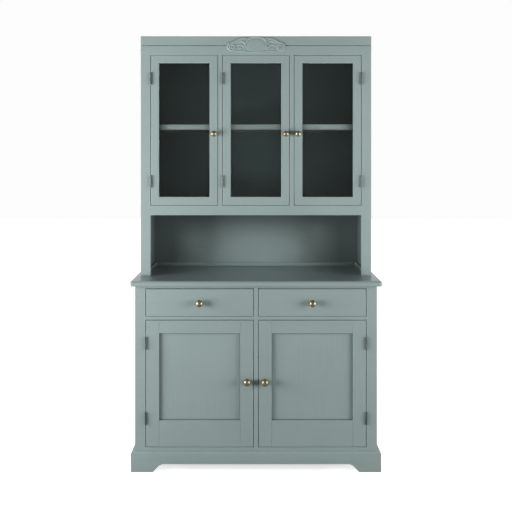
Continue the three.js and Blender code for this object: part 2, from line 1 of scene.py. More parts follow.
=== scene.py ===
# %% [markdown]
# # A painted welsh dresser, dressed for its portrait
# The solid model already holds every size and every place: a cupboard base under a counter,
# and a glazed hutch standing on it. This lesson gives each board its eased edges, its joints,
# its hardware and its paint. Nothing here moves or resizes the solids: each new piece takes its
# place from the solid that it stands for.

# %% The tools and the solid model
import json
import math

import bmesh
import bpy
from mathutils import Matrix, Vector
from mathutils.kdtree import KDTree

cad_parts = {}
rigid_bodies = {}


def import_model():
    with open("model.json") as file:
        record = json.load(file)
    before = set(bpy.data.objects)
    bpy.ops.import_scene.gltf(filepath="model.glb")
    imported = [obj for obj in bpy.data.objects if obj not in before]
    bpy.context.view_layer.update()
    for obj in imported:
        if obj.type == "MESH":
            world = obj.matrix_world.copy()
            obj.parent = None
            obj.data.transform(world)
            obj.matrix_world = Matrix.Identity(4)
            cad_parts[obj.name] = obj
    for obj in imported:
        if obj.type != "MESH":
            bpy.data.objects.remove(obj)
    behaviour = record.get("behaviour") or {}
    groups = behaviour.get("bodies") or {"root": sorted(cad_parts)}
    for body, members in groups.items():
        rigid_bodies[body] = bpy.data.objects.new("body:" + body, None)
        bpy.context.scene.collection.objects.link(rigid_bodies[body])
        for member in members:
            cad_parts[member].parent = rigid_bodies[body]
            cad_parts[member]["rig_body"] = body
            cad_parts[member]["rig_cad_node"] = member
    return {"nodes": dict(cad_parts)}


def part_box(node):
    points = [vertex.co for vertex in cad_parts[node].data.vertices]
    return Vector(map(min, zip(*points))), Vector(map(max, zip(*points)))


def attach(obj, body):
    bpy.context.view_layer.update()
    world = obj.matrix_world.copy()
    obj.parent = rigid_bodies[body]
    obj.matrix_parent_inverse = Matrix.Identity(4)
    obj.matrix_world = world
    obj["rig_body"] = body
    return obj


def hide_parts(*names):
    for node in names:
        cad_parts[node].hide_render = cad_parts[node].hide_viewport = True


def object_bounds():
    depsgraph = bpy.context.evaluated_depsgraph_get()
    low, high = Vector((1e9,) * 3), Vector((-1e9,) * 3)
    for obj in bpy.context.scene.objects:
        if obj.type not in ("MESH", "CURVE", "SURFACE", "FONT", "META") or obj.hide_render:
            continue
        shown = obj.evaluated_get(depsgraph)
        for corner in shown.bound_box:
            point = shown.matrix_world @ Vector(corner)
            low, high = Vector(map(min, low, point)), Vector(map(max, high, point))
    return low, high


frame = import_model()
cad_low, cad_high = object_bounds()
scene = bpy.context.scene
MM = 0.001
print("The dresser measures", [round(side, 3) for side in cad_high - cad_low], "metres")

# %% [markdown]
# ## The camera
# A furniture portrait keeps its uprights upright, so the camera stands level at eye height and
# the lens is shifted down until the feet are in the frame. Tilting the camera would be quicker,
# and would make the sides lean together.

# %% Camera
QUARTER_TURN = math.pi / 2
EYE_HEIGHT, CAMERA_DISTANCE = 1.480, 3.0875
LENS, LENS_SHIFT = 42.75, -0.1875
eye = (0, -CAMERA_DISTANCE, EYE_HEIGHT)
bpy.ops.object.camera_add(location=eye, rotation=(QUARTER_TURN, 0, 0))
camera = bpy.context.object
camera.name = "camera"
camera.data.lens = LENS
camera.data.shift_y = LENS_SHIFT
scene.camera = camera
scene.view_settings.view_transform = "Standard"
print("The lens is", LENS, "mm, shifted by", LENS_SHIFT)

# %% [markdown]
# ## Two large lamps
# The portrait has a soft light from each side and very little from above: the counter's top is
# dark, the right edges are a little darker than the left ones, and each round knob shows two
# bright spots. Two large soft boxes do that, far out to the sides and low. They are tipped up,
# which leaves the foot of the dresser in a weaker light than its top. A lamp over the camera
# would make every ledge bright and give each knob one spot.

# %% Lamps
LAMP_POWERS = {"left": 127, "right": 89}
LAMP_SIZE = (1.6, 1.8)
LAMP_PLACE, LAMP_TARGET = (2.75, -1.3, 1.2), (0.05, -0.1, 2.6)


def hang_lamp(word, side):
    """A rectangular lamp that faces its target and that the camera can't see."""
    place, target = [Vector((side * x, y, z)) for x, y, z in (LAMP_PLACE, LAMP_TARGET)]
    bpy.ops.object.light_add(type="AREA", location=place)
    lamp = bpy.context.object
    lamp.name = f"lamp_{word}"
    lamp.rotation_euler = (target - place).to_track_quat("-Z", "Y").to_euler()
    lamp.data.shape = "RECTANGLE"
    lamp.data.size, lamp.data.size_y = LAMP_SIZE
    lamp.data.energy = LAMP_POWERS[word]
    lamp.visible_camera = False


hang_lamp("left", -1)
hang_lamp("right", 1)

# %% [markdown]
# ## The room
# The camera, shiny surfaces and glass see a white room. What only lights the dresser is a much
# weaker fill, a little stronger from behind, so that the back of the dresser can be looked at
# too. Light Path tells the two kinds of ray apart.

# %% Helpers for node trees


def feed(tree, inputs, values):
    """Gives each input a number, a colour or another node's socket."""
    for key, value in values.items():
        if isinstance(value, bpy.types.NodeSocket):
            tree.links.new(value, inputs[key])
        else:
            inputs[key].default_value = value


def add_node(tree, kind, values=None, **settings):
    """Adds a node with its settings and feeds its inputs."""
    node = tree.nodes.new(kind)
    for key, value in settings.items():
        setattr(node, key, value)
    feed(tree, node.inputs, values or {})
    return node


def calculate(tree, operation, first, second, clamp=False):
    """One step of arithmetic on sockets or numbers."""
    values = {0: first, 1: second}
    return add_node(tree, "ShaderNodeMath", values, operation=operation, use_clamp=clamp).outputs[0]


def share_out(tree, *shares):
    """Adds up pairs of a socket and its share."""
    total = 0.0
    for socket, share in shares:
        values = {0: socket, 1: share, 2: total}
        total = add_node(tree, "ShaderNodeMath", values, operation="MULTIPLY_ADD").outputs[0]
    return total


def spread(tree, value, low, high, new_low, new_high):
    """Moves a value from one range to another and stops at its ends."""
    ranges = {"From Min": low, "From Max": high, "To Min": new_low, "To Max": new_high}
    return add_node(tree, "ShaderNodeMapRange", {"Value": value, **ranges}).outputs["Result"]


def mix_colours(tree, share, first, second):
    values = {0: share, 6: first, 7: second}
    return add_node(tree, "ShaderNodeMix", values, data_type="RGBA").outputs[2]


# %% White room
FRONT_FILL, BACK_FILL, FULL_BACK = 0.03, 0.75, 0.7
WHITE = 0.98
world = bpy.data.worlds.new("white_room")
scene.world = world
world.use_nodes = True
room = world.node_tree
room.nodes.clear()
rays = add_node(room, "ShaderNodeLightPath").outputs
direction = add_node(room, "ShaderNodeTexCoord").outputs["Generated"]
backwards = add_node(room, "ShaderNodeSeparateXYZ", {0: direction}).outputs["Y"]
fill = spread(room, backwards, 0.0, FULL_BACK, FRONT_FILL, BACK_FILL)
seen = calculate(room, "MAXIMUM", rays["Is Camera Ray"], rays["Is Glossy Ray"])
seen = calculate(room, "MAXIMUM", seen, rays["Is Transmission Ray"])
seen = calculate(room, "SUBTRACT", seen, rays["Diffuse Depth"], clamp=True)
levels = {0: seen, 2: fill, 3: WHITE}
strength = add_node(room, "ShaderNodeMix", levels, data_type="FLOAT").outputs[0]
light = add_node(room, "ShaderNodeBackground", {"Color": (1, 1, 1, 1), "Strength": strength})
add_node(room, "ShaderNodeOutputWorld", {"Surface": light.outputs[0]})
print("The fill is", FRONT_FILL, "in front and", BACK_FILL, "behind")

# %% [markdown]
# ## The floor
# The floor is a large white sheet. It keeps the soft shadow that ties the feet to the ground,
# and further out it fades to pure white, so that no horizon shows.

# %% Floor
FLOOR_SIZE = 24
FADE_START, FADE_END = 0.35, 0.75
NEAR_GLOW, FAR_GLOW = 0.62, 1.05
BOUNCED_GREY, SEEN_GREY = (0.35, 0.35, 0.34, 1), (0.8, 0.8, 0.8, 1)


def new_material(name):
    """A new material. Returns it with its node tree and its shader's inputs."""
    material = bpy.data.materials.new(name)
    material.use_nodes = True
    tree = material.node_tree
    return material, tree, tree.nodes["Principled BSDF"].inputs


def read_place(tree):
    """The place on the piece that is being painted."""
    return add_node(tree, "ShaderNodeTexCoord").outputs["Object"]


bpy.ops.mesh.primitive_plane_add(size=FLOOR_SIZE, location=(0, 0, 0))
floor = bpy.context.object
floor.name = "floor"
sheet, tree, shader = new_material("white_sheet")
shown = add_node(tree, "ShaderNodeLightPath").outputs["Is Camera Ray"]
place = read_place(tree)
distance = add_node(tree, "ShaderNodeVectorMath", {0: place}, operation="LENGTH").outputs["Value"]
glow = spread(tree, distance, FADE_START, FADE_END, NEAR_GLOW, FAR_GLOW)
finish = {
    "Base Color": mix_colours(tree, shown, BOUNCED_GREY, SEEN_GREY),
    "Roughness": 0.9,
    "Emission Color": (1, 1, 1, 1),
    "Emission Strength": calculate(tree, "MULTIPLY", glow, shown),
}
feed(tree, shader, finish)
floor.data.materials.append(sheet)
print("The floor is", round(floor.dimensions.x), "m wide")

# %% [markdown]
# ## A dark screen behind the camera
# Real brass and glass show the dark end of the studio, where the photographer stands. A half
# dome that only reflections can see plays that part, and leaves the light as it is.

# %% Dark screen
SCREEN_RADIUS, SCREEN_EDGE, SCREEN_GLOW = 6.0, 0.8, 0.12
size = {"segments": 32, "ring_count": 16, "radius": SCREEN_RADIUS}
bpy.ops.mesh.primitive_uv_sphere_add(location=(0, 0, 0), **size)
screen = bpy.context.object
screen.name = "dark_screen"
bpy.ops.object.mode_set(mode="EDIT")
bpy.ops.mesh.select_all(action="SELECT")
bpy.ops.mesh.bisect(plane_co=(0, SCREEN_EDGE, 0), plane_no=(0, 1, 0), clear_outer=True)
bpy.ops.object.mode_set(mode="OBJECT")
cloth, tree, shader = new_material("dark_cloth")
black, cool_white = (0, 0, 0, 1), (0.92, 0.96, 1.0, 1)
finish = {"Base Color": black, "Emission Color": cool_white, "Emission Strength": SCREEN_GLOW}
feed(tree, shader, finish)
screen.data.materials.append(cloth)
for ray in ("camera", "diffuse", "shadow", "transmission"):
    setattr(screen, f"visible_{ray}", False)
print("The screen has", len(screen.data.polygons), "faces")

# %% [markdown]
# ## The finishes
# The dresser has five finishes: satin paint, bare pine, aged brass, steel and glass. What
# several of them share, such as brush marks or worn edges, is a node group, built once and
# placed in each material with other values. The shader itself stays in the material.

# %% A node group for what finishes share
FLOAT, VECTOR = "NodeSocketFloat", "NodeSocketVector"
USUAL_NOISE = (0.35, 0.65)


def new_group(name, inputs, outputs):
    """An empty group with named sockets. Returns it with the sockets to build between."""
    group = bpy.data.node_groups.new(name, "ShaderNodeTree")
    for label, kind, value in inputs:
        socket = group.interface.new_socket(name=label, in_out="INPUT", socket_type=kind)
        if value is not None:
            socket.default_value = value
    for label in outputs:
        group.interface.new_socket(name=label, in_out="OUTPUT", socket_type=FLOAT)
    start = group.nodes.new("NodeGroupInput")
    end = group.nodes.new("NodeGroupOutput")
    return group, start.outputs, end.inputs


def use_group(tree, group, values):
    return add_node(tree, "ShaderNodeGroup", values, node_tree=group).outputs


def noise(tree, vector, scale, detail=2.0):
    values = {"Vector": vector, "Scale": scale, "Detail": detail}
    return add_node(tree, "ShaderNodeTexNoise", values).outputs["Fac"]


def read_mask(tree, name):
    """What a piece carries in an attribute of that name."""
    return add_node(tree, "ShaderNodeAttribute", attribute_name=name).outputs["Fac"]


# %% [markdown]
# ### Brush marks
# Paint on wood is never quite even. The brush leaves fine lines along the grain, the grain
# itself shows through a little, and the tone drifts over a board. Three noises do that: the
# first two are stretched along the board by the material's Mapping node, the third isn't.

# %% Brush marks
FINENESS = 600.0
inputs = [("Place", VECTOR, None), ("Grain", VECTOR, None), ("Fineness", FLOAT, FINENESS)]
brush_marks, given, result = new_group("brush_marks", inputs, ["Tone", "Height"])
bristles = noise(brush_marks, given["Grain"], given["Fineness"], 3.0)
grain_scale = calculate(brush_marks, "MULTIPLY", given["Fineness"], 0.16)
grain_lines = noise(brush_marks, given["Grain"], grain_scale, 3.0)
drift = noise(brush_marks, given["Place"], 3.5)
tone = share_out(brush_marks, (bristles, 0.2), (grain_lines, 0.3), (drift, 0.5))
height = share_out(brush_marks, (bristles, 0.5), (grain_lines, 0.5))
feed(brush_marks, result, {"Tone": tone, "Height": height})
print("Brush marks:", len(brush_marks.nodes), "nodes")

# %% [markdown]
# ### Worn edges
# Hands and dusters thin the paint where two faces meet. Each dressed piece carries an attribute
# called edge, which is 1 inside its rounded edges and 0 on its faces. The group breaks that
# line up with a noise, so the wear comes and goes.

# %% Worn edges
PATCHINESS = 60.0
inputs = [("Place", VECTOR, None), ("Patchiness", FLOAT, PATCHINESS)]
worn_edges, given, result = new_group("worn_edges", inputs, ["Wear"])
edge = read_mask(worn_edges, "edge")
patches = noise(worn_edges, given["Place"], given["Patchiness"], 4.0)
patches = spread(worn_edges, patches, *USUAL_NOISE, 0.25, 1.0)
feed(worn_edges, result, {"Wear": calculate(worn_edges, "MULTIPLY", edge, patches, clamp=True)})
print("Worn edges:", len(worn_edges.nodes), "nodes")

# %% [markdown]
# ### Satin paint
# The paint is a grey sage with a soft sheen. It could be one flat colour, but then a wide panel
# looks like plastic, so the tone runs between two near colours, the rounded edges are a little
# lighter, and the same height drives a shallow bump. The grain runs along a board, so there is
# one paint for each direction. Shade is also painted into the colour: an attribute holds, point
# by point, how much painted shade there is, and pulls the paint to a deeper tone. Some boards
# have a tin of their own: the varnished counter; the shelf and the niche, in paler copies of the
# paint that are painted light; and the cabinet's back, in a dark, matt copy that is painted shade.

# %% Paint
ALONG = {"across": (0.05, 1, 1), "deep": (1, 0.05, 1), "upright": (1, 1, 0.05)}
LOW_TONE, HIGH_TONE = (0.297, 0.375, 0.368), (0.328, 0.412, 0.405)
SHADE_TONE, THINNED_TONE = (0.10, 0.13, 0.125), (0.52, 0.57, 0.55, 1)
SHADE_SHARE, THINNED_SHARE = 0.6, 0.35


def read_grain(tree, place, stretch):
    """The place on the piece, stretched along the grain."""
    return add_node(tree, "ShaderNodeMapping", {"Vector": place, "Scale": stretch}).outputs[0]


def raise_surface(tree, height, strength, depth):
    values = {"Height": height, "Strength": strength, "Distance": depth}
    return add_node(tree, "ShaderNodeBump", values).outputs["Normal"]


def tint(tone, shade):
    """A tone whose red, green and blue are multiplied by the shade's."""
    return [part * share for part, share in zip(tone, shade)] + [1]


def mix_paint(name, stretch, varnish=0.0, shade=(1, 1, 1), gloss=0.5):
    """Satin paint in one shade, with its grain stretched one way."""
    material, tree, shader = new_material(name)
    place = read_place(tree)
    grain = read_grain(tree, place, stretch)
    marks = use_group(tree, brush_marks, {"Place": place, "Grain": grain, "Fineness": FINENESS})
    wear = use_group(tree, worn_edges, {"Place": place, "Patchiness": PATCHINESS})["Wear"]
    share = spread(tree, marks["Tone"], *USUAL_NOISE, 0.0, 1.0)
    paint = mix_colours(tree, share, tint(LOW_TONE, shade), tint(HIGH_TONE, shade))
    # Painted shade: the attribute pulls the paint towards a deeper tone where shade falls.
    painted_shade = calculate(tree, "MULTIPLY", read_mask(tree, "painted_shade"), SHADE_SHARE)
    shade_tone = tint(SHADE_TONE, [min(part, 1) for part in shade])
    paint = mix_colours(tree, painted_shade, paint, shade_tone)
    thinned = calculate(tree, "MULTIPLY", wear, THINNED_SHARE)
    finish = {
        "Base Color": mix_colours(tree, thinned, paint, THINNED_TONE),
        "Roughness": spread(tree, marks["Tone"], 0.3, 0.7, 0.5, 0.4),
        "Normal": raise_surface(tree, marks["Height"], 0.25, 0.3 * MM),
        "Specular IOR Level": gloss,
        "Coat Weight": varnish,
        "Coat Roughness": 0.22,
    }
    feed(tree, shader, finish)
    return material


paints = {way: mix_paint(f"satin_paint_{way}", stretch) for way, stretch in ALONG.items()}
varnished_paint = mix_paint("varnished_paint", ALONG["across"], varnish=0.55)
# Painted light and shade: the shelf and niche paints are paler copies, the cabinet back's paint is
# a dark copy.
painted_light_shelf_paint = mix_paint("painted_light_shelf_paint", ALONG["across"], shade=(1.32, 1.23, 1.26))
painted_light_niche_paint = mix_paint("painted_light_niche_paint", ALONG["across"], shade=(1.3, 1.3, 1.3))
painted_shade_paint = mix_paint("painted_shade_paint", ALONG["upright"], shade=(0.18, 0.23, 0.23), gloss=0.15)
own_tins = (varnished_paint, painted_light_shelf_paint, painted_light_niche_paint, painted_shade_paint)
print("Paints:", [material.name for material in (*paints.values(), *own_tins)])

# %% [markdown]
# ### Bare pine
# The drawer boxes and the frames they run on are left bare. Sawn pine shows darker bands of
# summer wood, wavy and stretched along the board, which the Wave texture gives, and short pores.

# %% Pine
RINGS = 14.0
PINE_PATCHINESS, RUBBED_SHARE = 90.0, 0.3
LIGHT_PINE, DARK_PINE = (0.62, 0.43, 0.24, 1), (0.46, 0.27, 0.12, 1)
LIGHT_END, DARK_END = (0.44, 0.27, 0.13, 1), (0.30, 0.17, 0.07, 1)
inputs = [("Grain", VECTOR, None), ("Rings", FLOAT, RINGS)]
pine_grain, given, result = new_group("pine_grain", inputs, ["Figure"])
values = {"Vector": given["Grain"], "Scale": given["Rings"], "Distortion": 5.0, "Detail": 3.0}
bands = add_node(pine_grain, "ShaderNodeTexWave", values).outputs["Fac"]
pores = noise(pine_grain, given["Grain"], 420.0, 3.0)
feed(pine_grain, result, {"Figure": share_out(pine_grain, (bands, 0.6), (pores, 0.4))})


def saw_pine(name, stretch, light_wood, dark_wood):
    """Sawn pine between two tones, which is lighter where it is rubbed."""
    material, tree, shader = new_material(name)
    place = read_place(tree)
    grain = read_grain(tree, place, stretch)
    figure = use_group(tree, pine_grain, {"Grain": grain, "Rings": RINGS})["Figure"]
    wood = mix_colours(tree, figure, light_wood, dark_wood)
    wear = use_group(tree, worn_edges, {"Place": place, "Patchiness": PINE_PATCHINESS})["Wear"]
    rubbed = calculate(tree, "MULTIPLY", wear, RUBBED_SHARE)
    finish = {
        "Base Color": mix_colours(tree, rubbed, wood, light_wood),
        "Roughness": spread(tree, figure, 0.0, 1.0, 0.72, 0.55),
        "Normal": raise_surface(tree, figure, 0.3, 0.3 * MM),
    }
    feed(tree, shader, finish)
    return material


pines = {way: saw_pine(f"bare_pine_{way}", ALONG[way], LIGHT_PINE, DARK_PINE) for way in ALONG}
end_grain = saw_pine("pine_end_grain", (1, 1, 1), LIGHT_END, DARK_END)
print("Pines:", [material.name for material in pines.values()], end_grain.name)

# %% [markdown]
# ### Aged brass and steel
# Old brass is bright where fingers polish it and brown where they don't reach. The knobs carry
# an attribute that is 1 in the neck and falls to 0 on the front of the ball: tarnish in the
# neck, and painted shade that darkens the ball's rim. The hinges are the same idea in dark steel,
# and the screws in bright steel: the group only gives a mask, and each metal has two colours.

# %% Metals
SPOTS = 260.0
inputs = [("Place", VECTOR, None), ("Spots", FLOAT, SPOTS)]
tarnish, given, result = new_group("tarnish", inputs, ["Dulled", "Height"])
spots = noise(tarnish, given["Place"], given["Spots"], 4.0)
clouds = spread(tarnish, spots, 0.45, 0.75, 0.0, 0.6)
# The knobs' mask: tarnish in the neck, and painted shade on the rim of the ball.
dulled = calculate(tarnish, "ADD", read_mask(tarnish, "tarnish_and_shade"), clouds, clamp=True)
feed(tarnish, result, {"Dulled": dulled, "Height": noise(tarnish, given["Place"], 900.0)})


def cast_metal(name, bright, dull, smooth, rough):
    """A metal between two colours and two degrees of roughness."""
    material, tree, shader = new_material(name)
    film = use_group(tree, tarnish, {"Place": read_place(tree), "Spots": SPOTS})
    finish = {
        "Base Color": mix_colours(tree, film["Dulled"], bright + (1,), dull + (1,)),
        "Roughness": spread(tree, film["Dulled"], 0.0, 1.0, smooth, rough),
        "Normal": raise_surface(tree, film["Height"], 0.08, 0.1 * MM),
        "Metallic": 1.0,
    }
    feed(tree, shader, finish)
    return material


aged_brass = cast_metal("aged_brass", (0.41, 0.35, 0.21), (0.11, 0.085, 0.042), 0.42, 0.5)
dark_steel = cast_metal("dark_steel", (0.14, 0.17, 0.165), (0.056, 0.067, 0.064), 0.38, 0.6)
bright_steel = cast_metal("bright_steel", (0.5, 0.5, 0.48), (0.22, 0.21, 0.2), 0.3, 0.5)
print("Metals:", aged_brass.name, dark_steel.name, bright_steel.name)

# %% [markdown]
# ### Glass
# The panes are plain float glass, a little green and not perfectly flat. In the portrait they
# look nearly black, because the hutch behind them is dark.

# %% Glass
pane_glass, tree, shader = new_material("pane_glass")
place = read_place(tree)
ripple, smears = noise(tree, place, 9.0), noise(tree, place, 30.0, 3.0)
green, pale_green = (0.93, 0.975, 0.965, 1), (0.96, 0.995, 0.985, 1)
finish = {
    "Base Color": mix_colours(tree, ripple, green, pale_green),
    "Roughness": spread(tree, smears, 0.5, 0.8, 0.0, 0.04),
    "Normal": raise_surface(tree, ripple, 0.05, 1.0 * MM),
    "Transmission Weight": 1.0,
    "IOR": 1.25,
}
feed(tree, shader, finish)
print("Glass:", pane_glass.name)

# %% [markdown]
# ## Working by hand, in code
# Every piece is made the way one would make it at the screen: add a block, go into edit mode,
# pick faces or edges, and run a tool on them. An operator acts on all that is selected, so each
# helper first puts everything else down.

# %% Helpers for selecting
TOUCHING = 0.05 * MM


def take_up(*pieces):
    """Selects these pieces and nothing else. The first one is active."""
    bpy.ops.object.select_all(action="DESELECT")
    for piece in pieces:
        piece.select_set(True)
    bpy.context.view_layer.objects.active = pieces[0]


def open_mesh():
    """Goes into edit mode with the whole mesh selected."""
    bpy.ops.object.mode_set(mode="EDIT")
    bpy.ops.mesh.select_all(action="SELECT")


def close_mesh(outwards=False):
    """Leaves edit mode, after turning every face outwards if that is asked."""
    if outwards:
        bpy.ops.mesh.select_all(action="SELECT")
        bpy.ops.mesh.normals_make_consistent(inside=False)
    bpy.ops.object.mode_set(mode="OBJECT")


def pick(kind, test):
    """In edit mode: selects the EDGEs or FACEs that pass the test, and only those."""
    bpy.ops.mesh.select_mode(type=kind)
    bpy.ops.mesh.select_all(action="DESELECT")
    mesh = bpy.context.object.data
    shape = bmesh.from_edit_mesh(mesh)
    for thing in {"EDGE": shape.edges, "FACE": shape.faces}[kind]:
        if test(thing):
            thing.select_set(True)
    bmesh.update_edit_mesh(mesh)


def middle(thing):
    """The middle of an edge or a face."""
    return sum((corner.co for corner in thing.verts), Vector()) / len(thing.verts)


def near(value, other):
    return abs(value - other) < TOUCHING


def level(edge, z):
    """Whether an edge lies all along at one height."""
    return all(near(corner.co.z, z) for corner in edge.verts)


# %% [markdown]
# ### Adding, changing and copying
# A primitive is added at its size and place, and its place then goes into its mesh, so that the
# piece's own origin is the room's. A modifier is applied as soon as it is set. What repeats is
# made once and copied, and each copy has its own mesh.

# %% Helpers for adding, changing and copying
TURNS = {"X": (0, QUARTER_TURN, 0), "Y": (QUARTER_TURN, 0, 0), "Z": (0, 0, 0)}


def apply_place():
    """Puts the active piece's place, turn and size into its mesh."""
    bpy.ops.object.transform_apply(location=True, rotation=True, scale=True)


def name_piece(name):
    """Names the active piece and applies its place."""
    piece = bpy.context.object
    piece.name = piece.data.name = name
    apply_place()
    return piece


def add_form(name, add, **settings):
    """Adds a primitive, alone in the selection."""
    bpy.ops.object.select_all(action="DESELECT")
    add(**settings)
    return name_piece(name)


def add_block(name, low, high):
    """A block between two corners."""
    low, high = Vector(low), Vector(high)
    place, size = (low + high) / 2, high - low
    return add_form(name, bpy.ops.mesh.primitive_cube_add, size=1, location=place, scale=size)


def add_round_bar(name, place, radius, depth, axis, sides=24):
    """A round bar along one axis."""
    size = {"vertices": sides, "radius": radius, "depth": depth}
    bar = bpy.ops.mesh.primitive_cylinder_add
    return add_form(name, bar, location=place, rotation=TURNS[axis], **size)


def add_disc(name, radius, sides, facing):
    """A filled disc at the origin that faces -Y or Y, open in edit mode."""
    size = {"vertices": sides, "radius": radius, "fill_type": "NGON"}
    turn = (-facing * QUARTER_TURN, 0, 0)
    disc = add_form(name, bpy.ops.mesh.primitive_circle_add, rotation=turn, **size)
    open_mesh()
    return disc


def add_ring(rise, ratio):
    """Extrudes a disc's face along Y and resizes it."""
    bpy.ops.mesh.extrude_region_move(TRANSFORM_OT_translate={"value": (0, rise, 0)})
    bpy.ops.transform.resize(value=(ratio, 1, ratio), center_override=(0, 0, 0))


def add_modifier(piece, kind, **settings):
    """Adds a modifier with its settings and applies it."""
    take_up(piece)
    bpy.ops.object.modifier_add(type=kind)
    modifier = piece.modifiers[-1]
    for key, value in settings.items():
        setattr(modifier, key, value)
    bpy.ops.object.modifier_apply(modifier=modifier.name)
    return piece


def join(name, *pieces):
    """Joins pieces into one with a new name."""
    take_up(*pieces)
    bpy.ops.object.join()
    piece = bpy.context.object
    piece.name = piece.data.name = name
    return piece


def copy_of(master, name, shift=(0, 0, 0)):
    """A copy with its own mesh, moved from where the master is."""
    take_up(master)
    bpy.ops.object.duplicate()
    bpy.ops.transform.translate(value=shift)
    return name_piece(name)


def discard(*pieces):
    for piece in pieces:
        bpy.data.objects.remove(piece)


# %% [markdown]
# ### Eased edges
# No board has a knife edge: it is sanded round before it is painted, and that thin round is
# what catches the light in the portrait. The Bevel modifier rounds every sharp edge, smooth
# shading by angle blends the round into the faces, and weighted normals keep the faces flat.
# The points inside the round get the value 1 in the attribute that the worn edges read.

# %% Easing edges
EASE_SEGMENTS = 3
NARROW_SHARE = 0.75


def round_edges(piece, radius, segments=EASE_SEGMENTS, sharpest=30):
    """Rounds the edges that are sharper than an angle in degrees."""
    settings = {"width": radius, "segments": segments, "angle_limit": math.radians(sharpest)}
    return add_modifier(piece, "BEVEL", limit_method="ANGLE", **settings)


def smooth(sharpest):
    """Smooth shading of the selected piece, up to an angle in degrees."""
    bpy.ops.object.shade_smooth_by_angle(angle=math.radians(sharpest))


def smooth_board(board):
    """Smooth rounds between flat faces."""
    smooth(40)
    add_modifier(board, "WEIGHTED_NORMAL", keep_sharp=True)


def write_mask(piece, name, values):
    """Writes a value for each point into a new attribute."""
    piece.data.attributes.new(name, "FLOAT", "POINT").data.foreach_set("value", values)


def mark_edges(piece, radius):
    """Writes 1 on the points that lie inside the rounded edges and 0 on all others."""
    mesh = piece.data
    inside = [1.0] * len(mesh.vertices)
    for face in mesh.polygons:
        corners = [mesh.vertices[i].co for i in face.vertices]
        longest = max((a - b).length for a, b in zip(corners, corners[1:] + corners[:1]))
        if face.area / longest >= NARROW_SHARE * radius:
            for i in face.vertices:
                inside[i] = 0.0
    write_mask(piece, "edge", inside)


def ease_edges(piece, radius, sharpest=30):
    """Rounds a piece's edges, smooths the rounds and marks them."""
    round_edges(piece, radius, sharpest=sharpest)
    smooth_board(piece)
    mark_edges(piece, radius)
    return piece


print("Edges are rounded in", EASE_SEGMENTS, "steps")

# %% [markdown]
# ### Finishing a piece
# A finished piece gets its material and rides on the body that moves it. Grain runs along a
# board, so the board's longest way chooses the paint. Painted shade is a number at each point,
# given by a function of its place.

# %% Helpers for finishing
# How deep the painted shade can go.
DEEPEST_SHADE = 1.65
NICHE_SHIFT = 0.025


def settle(piece, body, finish):
    """Finishes a piece: its material and the body that it rides on."""
    piece.data.materials.clear()
    piece.data.materials.append(finish)
    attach(piece, body)
    return piece


def held(value, top=1.0):
    """A value held between 0 and a top."""
    return min(top, max(0.0, value))


def mark_painted_shade(piece, share_at):
    """Writes how much painted shade each point has, from 0 to the deepest."""
    shares = [held(share_at(corner.co), DEEPEST_SHADE) for corner in piece.data.vertices]
    write_mask(piece, "painted_shade", shares)


def longest_way(piece):
    """The direction that a board's grain runs in."""
    return ("across", "deep", "upright")[max(range(3), key=lambda axis: piece.dimensions[axis])]


def body_of(node):
    return frame["nodes"][node]["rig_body"]


def seen_middle(low, high, y):
    """The middle of a box as seen from the front, at one depth."""
    return (low.x + high.x) / 2, y, (low.z + high.z) / 2


print("Tones go down to", DEEPEST_SHADE)

# %% [markdown]
# ### Boards from solids
# A plain board has the right shape already. It is copied from its solid, the copy's loose
# triangles are merged and its flat faces made whole again, and then its edges are eased.
# Modelling each board anew would only repeat sizes that the solid already holds.

# %% Copying and cutting a solid
LOOSE, FLAT = 0.01 * MM, math.radians(0.5)


def copy_solid(node, name):
    """A clean copy of a solid, free to be shaped."""
    take_up(frame["nodes"][node])
    bpy.ops.object.duplicate()
    piece = bpy.context.object
    piece.name = piece.data.name = name
    del piece["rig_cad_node"]
    open_mesh()
    bpy.ops.mesh.remove_doubles(threshold=LOOSE)
    bpy.ops.mesh.dissolve_limited(angle_limit=FLAT)
    close_mesh()
    return piece


def cut_mesh(piece, cuts, **settings):
    """Cuts the whole of a piece at each plane."""
    take_up(piece)
    open_mesh()
    for place, normal in cuts:
        bpy.ops.mesh.select_all(action="SELECT")
        bpy.ops.mesh.bisect(plane_co=place, plane_no=normal, **settings)
    close_mesh()
    return piece


def saw(piece, *cuts):
    """Cuts a piece at each plane, and keeps what lies behind it."""
    return cut_mesh(piece, cuts, use_fill=True, clear_outer=True)


def score(piece, axis, places):
    """Cuts a line right round a piece at each place along an axis and keeps all of it."""
    normal = {"x": (1, 0, 0), "y": (0, 1, 0)}[axis]
    cut_mesh(piece, [([place * part for part in normal], normal) for place in places])


# %% [markdown]
# ### What the paint shows on a board
# A frame's rail ends a hair short of its stiles, which leaves the fine dark line that paint
# never quite bridges. The rest is painted shade. The doors' panels sit in grooves, and a line of
# painted shade follows each groove, widest under the top rail: two insets on the panel's face mark
# where it starts and ends. The hutch's sides have painted shade on the inside. The shelf has
# painted shade from below and a painted shadow behind the doors' stiles, and a few cuts across it
# give that tone its places. The strip round the foot of the niche has painted shade towards its
# ends and is palest in the middle.

